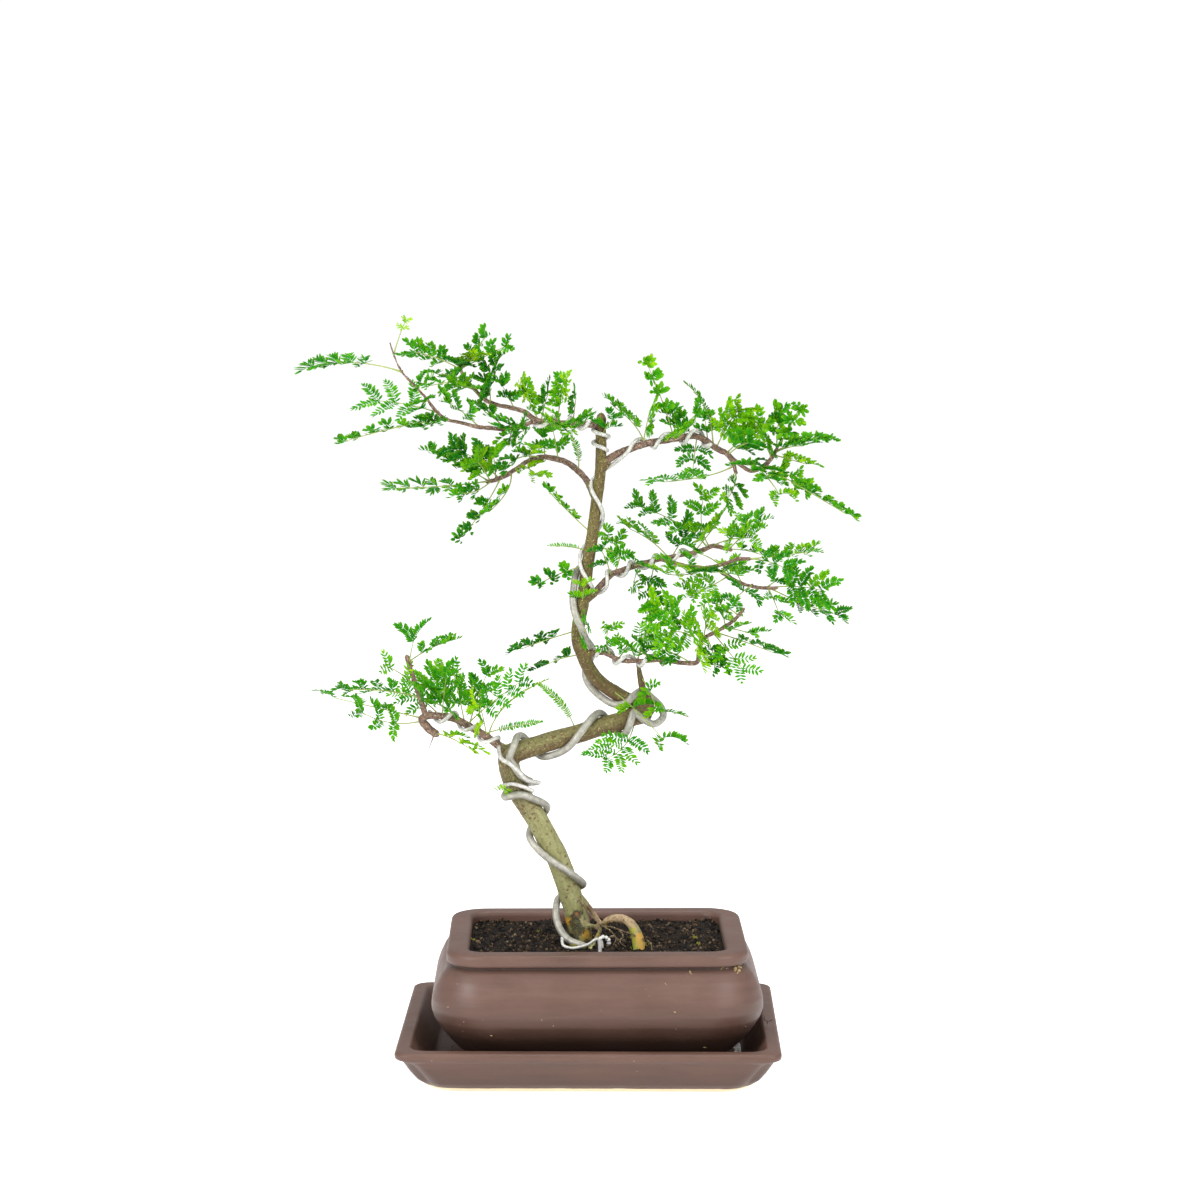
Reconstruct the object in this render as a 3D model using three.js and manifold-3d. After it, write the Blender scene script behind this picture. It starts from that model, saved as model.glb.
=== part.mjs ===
// Gum arabic tree bonsai in a brown clay pot on its saucer.
// Millimetres, +Z up, origin at the middle of the saucer's underside.
import * as THREE from 'three';
import { mergeVertices } from 'three/addons/utils/BufferGeometryUtils.js';
import Module from 'manifold-3d';

const wasm = await Module();
wasm.setup();

// Driving dimensions
const GAP = 0.3;
const POT_SHIFT = 4;
const POT_TURN = THREE.MathUtils.degToRad(1.4);
const RIM_HALF = [91.2, 70.4];
const RIM_TOP = 82;
const RIM_FACE = 7.5;
const RIM_WIDTH = 12;
const RIM_CORNER = 22;
const INNER_CORNER = 12;
const NECK_INSET = 13.5;
const POT_WALL = 8;
const POT_FLOOR = 19;
const FOOT_HEIGHT = 3.6;
const FOOT_RADIUS = 11;
const DRAIN_RADIUS = 6;
const SAUCER_HALF = [115.2, 94.3];
const SAUCER_HEIGHT = 27.8;
const SAUCER_FLOOR = 7;
const SAUCER_RIM_WIDTH = 9.5;
const SAUCER_CORNER = 9;
const SOIL_TOP = 76;
const SOIL_RELIEF = 1.1;
const TRUNK_WIRE = 4.5;
const THIN_WIRE = 2.5;
const ANCHOR_WIRE = 1.9;
const PETIOLE_RADIUS = 0.75;
const PINNA_HALF_WIDTH = 2.1;
const PINNA_RIDGE = 0.45;
const LEAF_SEED = 7;
const SLIVER = 0.05;

// Colours
const CLAY = { color: 0x6b5048, roughness: 0.62, metalness: 0 };
const EARTH = { color: 0x2a211c, roughness: 0.95, metalness: 0 };
const BARK = { color: 0x7a6a3c, roughness: 0.85, metalness: 0 };
const LEAF = { color: 0x3c9a22, roughness: 0.55, metalness: 0 };
const ALUMINIUM = { color: 0xa9aba8, roughness: 0.38, metalness: 1 };

// Front view: points of the tree are read across and down on a 1200 by 1200 sheet
// drawn from this eye, and the third number of a point is its depth in millimetres.
const EYE = new THREE.Vector3(29.9, -2003.3, 519.3);
const EYE_TILT = THREE.MathUtils.degToRad(6.59);
const EYE_SWING = THREE.MathUtils.degToRad(0.68);
const EYE_REACH = 3300;
const SHEET_MIDDLE = 600;
const EYE_RIGHT = new THREE.Vector3(Math.cos(EYE_SWING), Math.sin(EYE_SWING), 0);
const EYE_FORWARD = new THREE.Vector3(
  -Math.sin(EYE_SWING) * Math.cos(EYE_TILT),
  Math.cos(EYE_SWING) * Math.cos(EYE_TILT),
  -Math.sin(EYE_TILT)
);
const EYE_UP = new THREE.Vector3().crossVectors(EYE_RIGHT, EYE_FORWARD);

function seen(across, down, depth) {
  const ray = EYE_FORWARD.clone()
    .addScaledVector(EYE_RIGHT, (across - SHEET_MIDDLE) / EYE_REACH)
    .addScaledVector(EYE_UP, (SHEET_MIDDLE - down) / EYE_REACH);
  return EYE.clone().addScaledVector(ray, (depth - EYE.y) / ray.y);
}

function randomFrom(seed) {
  let state = seed >>> 0;
  return () => {
    state = (state + 0x6d2b79f5) >>> 0;
    let t = Math.imul(state ^ (state >>> 15), 1 | state);
    t = (t + Math.imul(t ^ (t >>> 7), 61 | t)) ^ t;
    return ((t ^ (t >>> 14)) >>> 0) / 4294967296;
  };
}

// Solids
function solidOf(geometry) {
  const bare = geometry.clone();
  bare.deleteAttribute('normal');
  bare.deleteAttribute('uv');
  const merged = mergeVertices(bare, 1e-4);
  const index = Array.from(merged.index.array);
  const triangles = [];
  for (let i = 0; i < index.length; i += 3) {
    const [a, b, c] = index.slice(i, i + 3);
    if (a !== b && b !== c && a !== c) triangles.push(a, b, c);
  }
  const build = (list) => new wasm.Manifold(new wasm.Mesh({
    numProp: 3,
    vertProperties: new Float32Array(merged.attributes.position.array),
    triVerts: new Uint32Array(list),
  }));
  const solid = build(triangles);
  if (solid.volume() > 0) return solid;
  const flipped = [];
  for (let i = 0; i < triangles.length; i += 3) {
    flipped.push(triangles[i], triangles[i + 2], triangles[i + 1]);
  }
  return build(flipped);
}

function geometryOf(solid) {
  const mesh = solid.simplify(SLIVER).getMesh();
  const geometry = new THREE.BufferGeometry();
  geometry.setAttribute('position', new THREE.BufferAttribute(new Float32Array(mesh.vertProperties), 3));
  geometry.setIndex(new THREE.BufferAttribute(new Uint32Array(mesh.triVerts), 1));
  geometry.computeVertexNormals();
  return geometry;
}

function joined(solids) {
  return solids.reduce((whole, solid) => whole.add(solid));
}

// A rounded rectangle stack: a closed lathe whose every ring is moved onto the outline.
// A profile row is [inset from the nominal outline, height, corner radius]; the two ends close on the axis.
const CORNER_STEPS = 3;
const OUTLINE_POINTS = 4 * (CORNER_STEPS + 1);

function outlinePoint(half, inset, corner, index) {
  const quarter = Math.floor(index / (CORNER_STEPS + 1)) % 4;
  const step = index % (CORNER_STEPS + 1);
  const angle = (quarter + step / CORNER_STEPS) * (Math.PI / 2);
  const signX = quarter === 0 || quarter === 3 ? 1 : -1;
  const signY = quarter < 2 ? 1 : -1;
  const round = Math.max(corner, 0.5);
  return [
    signX * (half[0] - inset - round) + round * Math.cos(angle),
    signY * (half[1] - inset - round) + round * Math.sin(angle),
  ];
}

function stack(half, profile, relief = () => 0) {
  const rows = [[null, profile[0][1]], ...profile, [null, profile.at(-1)[1]]];
  const lathe = new THREE.LatheGeometry(
    rows.map((row) => new THREE.Vector2(row[0] === null ? 0 : 1, row[1])),
    OUTLINE_POINTS
  );
  const position = lathe.attributes.position;
  for (let i = 0; i <= OUTLINE_POINTS; i++) {
    rows.forEach(([inset, height, corner], j) => {
      const [x, y] = inset === null ? [0, 0] : outlinePoint(half, inset, corner, i % OUTLINE_POINTS);
      position.setXYZ(i * rows.length + j, x, y, height + relief(x, y, height));
    });
  }
  return solidOf(lathe);
}

function upright(radius, bottom, top, sides, x = 0, y = 0) {
  const cylinder = new THREE.CylinderGeometry(radius, radius, top - bottom, sides);
  cylinder.rotateX(Math.PI / 2);
  cylinder.translate(x, y, (top + bottom) / 2);
  return solidOf(cylinder);
}

// Pot and saucer
const potInside = [
  [NECK_INSET, RIM_TOP - 9, INNER_CORNER],
  [POT_WALL - 9, 46, 26],
  [POT_WALL + 2, 27, 24],
  [POT_WALL + 13, POT_FLOOR, 20],
];

const potProfile = [
  [21, SAUCER_FLOOR + GAP + FOOT_HEIGHT, 22],
  [14, 13.5, 25],
  [7.5, 18.5, 29],
  [2.5, 24, 32],
  [-3, 31.5, 34],
  [-7.6, 39.5, 35],
  [-9.4, 46, 35],
  [-9, 52, 34],
  [-6.7, 59, 31],
  [-3.5, 65.5, 27],
  [-0.3, 70.2, 23],
  [1.8, RIM_TOP - RIM_FACE - 1.2, 20],
  [0.8, RIM_TOP - RIM_FACE, RIM_CORNER - 1],
  [0, RIM_TOP - RIM_FACE + 1.5, RIM_CORNER],
  [0, RIM_TOP - 2, RIM_CORNER],
  [1.6, RIM_TOP, RIM_CORNER - 1],
  [RIM_WIDTH, RIM_TOP, INNER_CORNER],
  [NECK_INSET, RIM_TOP - 2, INNER_CORNER],
  ...potInside,
];

function potSolid() {
  const [halfX, halfY] = RIM_HALF;
  const inset = 40;
  const feet = [[1, 1], [-1, 1], [-1, -1], [1, -1]].map(([sx, sy]) =>
    upright(FOOT_RADIUS, SAUCER_FLOOR + GAP, SAUCER_FLOOR + GAP + FOOT_HEIGHT + 2, 8,
      sx * (halfX - inset), sy * (halfY - inset)));
  const body = joined([stack(RIM_HALF, potProfile), ...feet]);
  return body.subtract(upright(DRAIN_RADIUS, 0, POT_FLOOR + 5, 10));
}

// Soil: it fills the pot, humped by a formula, and keeps a plain hole for whatever stands in it
const soilProfile = [
  [POT_WALL + 13.7, POT_FLOOR + GAP, 20],
  [POT_WALL + 2.8, 27.5, 24],
  [POT_WALL - 8.4, 46, 26],
  [NECK_INSET + 0.5, RIM_TOP - 10, INNER_CORNER],
  [NECK_INSET + 0.4, SOIL_TOP, INNER_CORNER],
  [21, SOIL_TOP, 10],
  [32, SOIL_TOP, 8],
  [44, SOIL_TOP, 8],
  [57, SOIL_TOP, 6],
];

function soilRelief(x, y, height) {
  if (height < SOIL_TOP) return 0;
  return SOIL_RELIEF * (Math.sin(0.19 * x + 1) * Math.cos(0.23 * y) + 0.5 * Math.sin(0.43 * x - 0.31 * y));
}

function soilSolid(standing) {
  return stack(RIM_HALF, soilProfile, soilRelief).subtract(standing);
}

const saucerProfile = [
  [22, 0, 16],
  [17.5, 1.5, 17],
  [12, 6, 17],
  [8, 12, 16],
  [4.6, 18.5, 14],
  [3.2, 21.2, 12],
  [0.6, 22.8, SAUCER_CORNER],
  [0, 24.6, SAUCER_CORNER],
  [0, SAUCER_HEIGHT - 1.4, SAUCER_CORNER],
  [1.6, SAUCER_HEIGHT, SAUCER_CORNER],
  [SAUCER_RIM_WIDTH - 1.2, SAUCER_HEIGHT, 11],
  [SAUCER_RIM_WIDTH, SAUCER_HEIGHT - 1.2, 11],
  [SAUCER_RIM_WIDTH + 10, SAUCER_FLOOR + 1.5, 12],
  [SAUCER_RIM_WIDTH + 13, SAUCER_FLOOR, 12],
];

// Wood: each branch is a list of [across, down, depth, diameter]
const wood = {
  trunk: [
    [583, 985, 0, 13], [580, 934, 0, 15], [576, 914, 0, 14.4], [571, 896, -1, 14.1], [557, 857, -3, 13.8],
    [546, 836, -5, 13.6], [535, 816, -6, 13.5], [524, 800, -7, 13.4], [515, 784, -8, 13.3],
    [510, 770, -9, 13.1], [509, 756, -9, 13], [522, 750, -9, 12.6], [539, 745, -8, 12],
    [558, 739, -7, 11.8], [578, 734, -6, 11.7], [596, 728, -4, 11.6], [614, 723, -2, 11.6],
    [630, 718, 0, 11.5], [645, 712, 2, 11], [640, 703, 4, 10], [628, 700, 5, 9.2],
    [614, 692, 5, 8.8], [600, 682, 4, 8.5], [590, 670, 2, 8.4], [583, 655, 1, 8.4],
    [578, 640, 0, 8.3], [579, 622, 0, 8.2], [583, 600, 0, 8.1], [587, 568, 1, 7.8],
    [592, 538, 2, 7.3], [596, 505, 3, 7], [600, 476, 3, 6.8], [601, 450, 2, 6.7], [601, 432, 2, 6.6],
    [601, 417, 2, 6.2],
  ],
  spur: [[648, 711, 2, 8.5], [648, 700, 0, 5.6], [643, 689, -2, 4.6], [640, 676, -3, 3.6], [638, 664, -4, 2.6]],
  lower: [
    [509, 752, -9, 7], [502, 748, -11, 5.2], [490, 739, -15, 4.8], [474, 729, -19, 4.7], [455, 719, -22, 4.5],
    [442, 716, -24, 4.4], [428, 716, -25, 4.4], [422, 719, -25, 4.8], [427, 727, -26, 5.2], [436, 734, -27, 4.8],
  ],
  lowerTwig: [[426, 717, -25, 3.8], [420, 697, -25, 3.2], [413, 677, -25, 2.9], [407, 657, -25, 3.2]],
  middle: [
    [585, 657, 1, 5], [593, 653, -2, 3.6], [604, 653, -7, 3.2], [620, 660, -13, 3], [640, 661, -18, 2.8],
    [663, 660, -24, 2.8], [684, 663, -30, 2.8], [697, 662, -34, 2.8], [699, 651, -37, 2.5], [703, 639, -39, 2.5],
    [718, 631, -42, 2.4], [734, 620, -44, 2.2], [744, 609, -45, 2],
  ],
  right: [
    [588, 597, 1, 5.5], [594, 593, 2, 4.2], [603, 583, 5, 3.8], [613, 574, 8, 3.6], [626, 569, 11, 3.5],
    [641, 564, 15, 3.4], [660, 559, 19, 3.2], [676, 556, 22, 3], [691, 553, 25, 2.8], [706, 549, 28, 2.8],
    [713, 546, 30, 3], [731, 550, 33, 2.4],
  ],
  rightTwig: [
    [660, 559, 19, 2.8], [678, 564, 14, 2.5], [697, 568, 8, 2.4], [712, 567, 3, 2.4], [724, 564, -1, 2.3],
    [738, 559, -5, 2.3], [750, 559, -9, 2],
  ],
  rightTip: [
    [712, 567, 3, 2.4], [728, 576, 0, 2.3], [743, 584, -4, 2.2], [764, 588, -8, 2.1], [777, 588, -11, 1.9],
  ],
  upper: [
    [601, 468, 3, 5.5], [607, 461, 1, 4.8], [617, 454, -2, 4.5], [630, 449, -5, 4.4], [648, 443, -9, 4.3],
    [666, 440, -12, 4.2], [684, 437, -15, 4.1], [695, 436, -17, 4], [705, 440, -19, 3.9], [716, 448, -21, 3.7],
    [727, 454, -23, 3.2], [733, 463, -24, 2.6], [736, 473, -25, 2.2],
  ],
  upperTip: [
    [727, 454, -23, 3], [738, 463, -27, 2.4], [751, 471, -31, 2.4], [762, 467, -35, 2.6], [771, 459, -38, 2.6],
    [777, 449, -40, 2.2],
  ],
  left: [
    [595, 494, 3, 5], [591, 487, 5, 4.2], [584, 477, 9, 3.9], [576, 469, 13, 3.9], [566, 462, 17, 3.8],
    [556, 459, 20, 3.6], [544, 457, 23, 3.2], [532, 459, 26, 2.8], [519, 467, 29, 2.8], [508, 474, 31, 3],
    [498, 479, 33, 2.8], [487, 482, 35, 2.4],
  ],
  top: [
    [601, 424, 2, 4.2], [593, 425, 0, 3.8], [578, 423, -2, 3.5], [562, 423, -4, 3.4], [548, 422, -5, 3.4],
    [536, 420, -6, 3.4], [525, 412, -3, 3], [512, 408, 1, 2.8], [498, 405, 6, 2.7], [485, 400, 11, 2.6],
    [475, 390, 16, 2.3], [466, 380, 20, 2.1], [460, 368, 24, 1.9],
  ],
  topTwig: [
    [536, 420, -6, 3], [522, 426, -11, 2.8], [505, 429, -17, 2.7], [490, 428, -22, 2.6], [478, 427, -26, 2.5],
    [462, 423, -31, 2.2], [446, 419, -35, 2], [436, 411, -37, 1.8], [426, 398, -39, 1.6], [415, 386, -41, 1.5],
    [402, 372, -43, 1.5], [395, 358, -44, 1.3], [390, 343, -45, 1.2],
  ],
  root: [
    [580, 898, 0, 5], [592, 911, -3, 3.2], [598, 920, -5, 2.8], [602, 925, -6, 3.4], [609, 920, -9, 4.8], [617, 918, -12, 5],
    [626, 920, -15, 5.4], [633, 927, -18, 6.2], [637, 936, -21, 7.4], [639, 946, -24, 8], [640, 962, -26, 8],
  ],
  thinRoot: [[586, 925, -4, 3.2], [600, 929, -9, 2.4], [596, 938, -13, 2.4], [592, 950, -15, 2.4]],
};

function curveOf(rows) {
  return new THREE.CatmullRomCurve3(rows.map(([u, v, y]) => seen(u, v, y)), false, 'centripetal');
}

// A tapering round bar: a cylinder whose rings are moved onto the points, square to the way they run
function bar(points, radii, sides) {
  const steps = points.length - 1;
  const cylinder = new THREE.CylinderGeometry(1, 1, 1, sides, steps);
  const position = cylinder.attributes.position;
  const along = points.map((spot, i) =>
    points[Math.min(i + 1, steps)].clone().sub(points[Math.max(i - 1, 0)]).normalize());
  const beside = [new THREE.Vector3(0, -1, 0).projectOnPlane(along[0]).normalize()];
  for (let i = 1; i <= steps; i++) beside.push(beside[i - 1].clone().projectOnPlane(along[i]).normalize());
  for (let i = 0; i < position.count; i++) {
    const at = Math.round((position.getY(i) + 0.5) * steps);
    const across = new THREE.Vector3().crossVectors(along[at], beside[at]);
    const spot = points[at].clone()
      .addScaledVector(beside[at], position.getX(i) * radii[at])
      .addScaledVector(across, position.getZ(i) * radii[at]);
    position.setXYZ(i, spot.x, spot.y, spot.z);
  }
  return solidOf(cylinder);
}

function lengthFractions(rows) {
  const points = rows.map(([u, v, y]) => seen(u, v, y));
  const sums = [0];
  for (let i = 1; i < points.length; i++) sums.push(sums[i - 1] + points[i].distanceTo(points[i - 1]));
  return sums.map((sum) => sum / sums.at(-1));
}

function radiusAlong(rows) {
  const fractions = lengthFractions(rows);
  return (t) => {
    let i = 1;
    while (i < rows.length - 1 && fractions[i] < t) i++;
    const share = (t - fractions[i - 1]) / (fractions[i] - fractions[i - 1]);
    return THREE.MathUtils.lerp(rows[i - 1][3], rows[i][3], THREE.MathUtils.clamp(share, 0, 1)) / 2;
  };
}

const spotList = (rows) => rows.map(([u, v, y]) => seen(u, v, y));

function branch(name, sides, grow = 0) {
  const rows = wood[name];
  return bar(spotList(rows), rows.map((row) => row[3] / 2 + grow), sides);
}

// Leaves: [stem, foot across, foot down, tip across, tip down, depth of the tip from the foot,
// pairs of pinnae, pinna length, and for a bowed leaf the across and down of its bow]
const leafRows = [
  ['lowerTwig', 409, 664, 413, 643, -6, 1, 17],
  ['lowerTwig', 409, 662, 444, 643, 6, 3, 11],
  ['lowerTwig', 415, 688, 391, 668, -8, 2, 10],
  ['lowerTwig', 419, 698, 350, 690, -16, 4, 12, 386, 688],
  ['lowerTwig', 419, 700, 440, 676, 18, 3, 13],
  ['lower', 423, 718, 335, 698, 10, 3, 14, 378, 708],
  ['lower', 424, 720, 363, 713, -14, 3, 12, 392, 729],
  ['lower', 440, 716, 411, 693, 18, 3, 13],
  ['lower', 442, 716, 446, 678, -14, 3, 13],
  ['lower', 444, 716, 471, 690, 24, 3, 13],
  ['lower', 464, 723, 424, 698, -26, 4, 14, 448, 707],
  ['lower', 465, 724, 453, 672, 4, 3, 9],
  ['lower', 467, 725, 519, 683, -8, 4, 12, 482, 708],
  ['lower', 469, 726, 486, 676, 22, 3, 11],
  ['lower', 487, 737, 480, 706, -20, 2, 14],
  ['lower', 488, 738, 549, 679, -4, 4, 8, 494, 702],
  ['lower', 483, 734, 541, 722, -12, 3, 11, 503, 727],
  ['lower', 435, 733, 470, 749, -16, 3, 13],
  ['middle', 611, 656, 608, 630, -6, 2, 9, 604, 643],
  ['middle', 618, 659, 640, 637, 10, 2, 11],
  ['middle', 637, 661, 648, 608, 12, 4, 12, 646, 636],
  ['middle', 657, 660, 622, 650, -20, 3, 12],
  ['middle', 700, 643, 664, 634, -10, 3, 14, 683, 626],
  ['middle', 702, 641, 659, 608, 8, 4, 14, 685, 621],
  ['middle', 703, 640, 690, 634, -34, 3, 11],
  ['middle', 704, 639, 708, 616, -24, 3, 11],
  ['middle', 700, 646, 697, 656, -28, 3, 10],
  ['middle', 690, 663, 661, 649, 8, 3, 12],
  ['middle', 707, 637, 716, 664, -8, 3, 10],
  ['middle', 714, 634, 742, 668, -16, 3, 10, 724, 646],
  ['middle', 716, 633, 774, 653, -4, 4, 10, 742, 640],
  ['middle', 722, 629, 748, 633, -10, 2, 13],
  ['middle', 726, 627, 722, 612, 14, 2, 11],
  ['middle', 739, 616, 718, 604, 16, 2, 10],
  ['right', 611, 576, 602, 552, -30, 2, 10],
  ['right', 614, 574, 608, 536, 8, 3, 9, 628, 548],
  ['right', 634, 567, 642, 566, -22, 2, 10],
  ['right', 655, 560, 648, 600, -4, 3, 10],
  ['right', 639, 565, 634, 582, -6, 2, 8],
  ['right', 668, 558, 630, 529, 4, 4, 13, 655, 540],
  ['right', 672, 557, 689, 532, 12, 3, 11],
  ['right', 710, 548, 703, 500, 4, 3, 12, 697, 528],
  ['right', 694, 552, 717, 524, -14, 3, 12, 704, 540],
  ['right', 708, 548, 644, 508, 8, 4, 14, 690, 524],
  ['right', 713, 546, 752, 538, -18, 3, 13, 728, 537],
  ['right', 729, 550, 758, 524, 6, 3, 12],
  ['right', 727, 549, 742, 522, 24, 2, 11],
  ['right', 728, 549, 762, 555, 8, 3, 12],
  ['rightTwig', 749, 559, 808, 552, -4, 4, 10, 780, 556],
  ['rightTwig', 749, 560, 783, 567, -14, 3, 12],
  ['rightTwig', 720, 565, 700, 554, -12, 1, 13],
  ['rightTwig', 707, 568, 673, 566, -12, 2, 11, 690, 563],
  ['rightTwig', 710, 568, 666, 574, -20, 3, 10, 688, 578],
  ['rightTip', 730, 577, 712, 573, -28, 2, 16],
  ['rightTip', 742, 583, 733, 568, 10, 3, 10],
  ['rightTip', 765, 588, 820, 590, -8, 4, 15, 795, 584],
  ['rightTip', 766, 588, 788, 576, 12, 2, 10],
  ['rightTip', 770, 588, 834, 614, -2, 4, 11, 800, 604],
  ['rightTip', 768, 588, 778, 611, -12, 2, 11],
  ['rightTip', 752, 586, 735, 600, -18, 2, 13],
  ['rightTip', 728, 576, 690, 592, -10, 4, 10, 708, 590],
  ['upper', 645, 445, 613, 406, 6, 4, 12, 639, 424],
  ['upper', 643, 445, 650, 410, -8, 3, 11],
  ['upper', 674, 439, 648, 366, 8, 4, 8, 665, 404],
  ['upper', 677, 438, 696, 414, -6, 2, 13],
  ['upper', 680, 438, 672, 414, 14, 3, 11],
  ['upper', 672, 439, 684, 433, -24, 3, 13],
  ['upper', 708, 442, 705, 420, 12, 2, 8],
  ['upper', 713, 446, 685, 383, 4, 4, 8, 712, 402],
  ['upper', 716, 448, 737, 412, 0, 4, 14],
  ['upper', 726, 454, 757, 424, 14, 4, 13, 744, 436],
  ['upper', 728, 455, 748, 443, -18, 3, 13],
  ['upper', 697, 437, 693, 469, 16, 3, 11],
  ['upper', 733, 466, 664, 482, -8, 4, 14, 714, 478],
  ['upper', 735, 472, 728, 498, -14, 3, 11, 737, 486],
  ['upperTip', 776, 450, 779, 413, 8, 3, 11],
  ['upperTip', 777, 450, 798, 410, -6, 3, 9, 790, 428],
  ['upperTip', 776, 452, 826, 440, 8, 4, 11, 802, 436],
  ['upperTip', 775, 453, 803, 446, -20, 3, 12],
  ['upperTip', 774, 455, 806, 464, -8, 3, 10, 792, 460],
  ['upperTip', 771, 458, 763, 441, -8, 2, 13],
  ['upperTip', 757, 469, 745, 465, -16, 2, 12],
  ['upperTip', 762, 467, 768, 478, -26, 3, 14],
  ['upperTip', 765, 465, 798, 482, 12, 3, 11],
  ['upperTip', 764, 466, 846, 514, -10, 5, 14, 800, 486],
  ['upperTip', 758, 469, 779, 494, -22, 2, 12],
  ['left', 541, 458, 507, 466, -10, 3, 12, 520, 452],
  ['left', 522, 465, 536, 475, -12, 2, 11],
  ['left', 545, 457, 543, 438, 10, 2, 9],
  ['left', 558, 460, 553, 430, -8, 2, 10],
  ['left', 578, 471, 572, 438, -12, 3, 9, 581, 452],
  ['left', 511, 472, 489, 512, -12, 3, 12, 514, 490],
  ['left', 501, 478, 463, 536, -4, 4, 10, 488, 505],
  ['left', 492, 481, 462, 493, -12, 3, 9, 476, 495],
  ['left', 491, 481, 396, 488, 4, 5, 10, 440, 488],
  ['left', 490, 481, 478, 462, -16, 3, 12],
  ['left', 499, 478, 458, 450, 12, 4, 13, 479, 458],
  ['left', 489, 481, 433, 452, 20, 4, 9, 461, 464],
  ['left', 496, 480, 494, 458, 8, 2, 9],
  ['left', 529, 460, 531, 450, -18, 2, 9],
  ['top', 577, 423, 583, 424, -26, 3, 12],
  ['top', 563, 423, 554, 428, -20, 3, 14],
  ['top', 557, 423, 563, 383, 8, 4, 8, 560, 402],
  ['top', 573, 423, 576, 398, -4, 3, 8],
  ['top', 538, 421, 523, 391, -4, 4, 13],
  ['top', 541, 421, 548, 394, 14, 3, 11],
  ['top', 514, 409, 503, 387, 6, 2, 10],
  ['top', 486, 401, 497, 364, 4, 3, 12, 488, 380],
  ['top', 490, 403, 490, 388, -16, 3, 11],
  ['top', 475, 390, 469, 388, -18, 2, 10],
  ['top', 460, 369, 485, 338, 6, 3, 8, 474, 352],
  ['top', 460, 369, 504, 347, -8, 3, 9, 482, 358],
  ['top', 461, 370, 475, 357, -18, 3, 9],
  ['top', 460, 370, 415, 352, -6, 4, 12, 440, 357],
  ['top', 463, 375, 455, 364, -24, 3, 11],
  ['top', 467, 382, 437, 374, -14, 2, 10],
  ['top', 469, 384, 430, 386, 16, 3, 11, 450, 380],
  ['top', 477, 392, 455, 386, -22, 3, 11],
  ['topTwig', 523, 426, 505, 427, -18, 3, 11],
  ['topTwig', 505, 429, 485, 412, 8, 3, 13],
  ['topTwig', 479, 427, 450, 404, -6, 3, 13],
  ['topTwig', 520, 426, 525, 434, -22, 3, 12],
  ['topTwig', 512, 428, 510, 442, -12, 3, 13],
  ['topTwig', 447, 419, 425, 426, -16, 4, 12],
  ['topTwig', 447, 420, 346, 441, -4, 5, 11, 400, 424],
  ['topTwig', 438, 413, 380, 401, 6, 3, 16, 410, 403],
  ['topTwig', 402, 372, 314, 366, 6, 5, 12, 360, 357],
  ['topTwig', 394, 354, 405, 322, 4, 2, 5],
  ['topTwig', 428, 400, 421, 408, -16, 2, 9],
  ['topTwig', 416, 387, 426, 383, -8, 2, 8],
  ['trunk', 516, 786, 506, 790, -10, 1, 6],
  ['trunk', 575, 728, 539, 684, 2, 4, 8, 569, 704],
  ['trunk', 582, 655, 548, 664, -10, 2, 12],
  ['trunk', 578, 630, 521, 649, -14, 4, 11, 550, 638],
  ['trunk', 583, 606, 584, 588, -14, 2, 8],
  ['trunk', 580, 645, 588, 626, -14, 2, 9],
  ['trunk', 586, 565, 541, 583, -12, 3, 8, 561, 571],
  ['trunk', 588, 551, 550, 546, 4, 2, 17],
  ['trunk', 592, 534, 549, 492, -8, 4, 8, 571, 515],
  ['trunk', 592, 548, 614, 552, -12, 1, 9],
  ['trunk', 601, 437, 612, 420, -12, 2, 9],
  ['trunk', 612, 691, 662, 738, -44, 2, 18, 628, 700],
  ['spur', 640, 676, 655, 706, -14, 2, 8, 652, 690],
  ['trunk', 650, 712, 688, 717, -36, 2, 9, 668, 708],
  ['trunk', 636, 717, 608, 758, -24, 4, 15, 632, 748],
];

function stemPoint(name, u, v) {
  const rows = wood[name];
  let best = null;
  for (let i = 1; i < rows.length; i++) {
    const [u0, v0, y0] = rows[i - 1];
    const [u1, v1, y1] = rows[i];
    const share = THREE.MathUtils.clamp(
      ((u - u0) * (u1 - u0) + (v - v0) * (v1 - v0)) / ((u1 - u0) ** 2 + (v1 - v0) ** 2), 0, 1);
    const at = [u0, v0, y0].map((start, k) => start + share * ([u1, v1, y1][k] - start));
    const miss = Math.hypot(u - at[0], v - at[1]);
    if (best === null || miss < best.miss) {
      best = { miss, spot: seen(at[0], at[1], at[2]) };
    }
  }
  return best.spot;
}

// The form of a bipinnate leaf: a bowed rachis with pairs of pinnae, one pair fewer on the longer leaves
const FIRST_PAIR = 0.42;
const FULL_PAIRS = 2;
const CROWN_AXIS = 10;
const FACE_TURN = THREE.MathUtils.degToRad(110);

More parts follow.
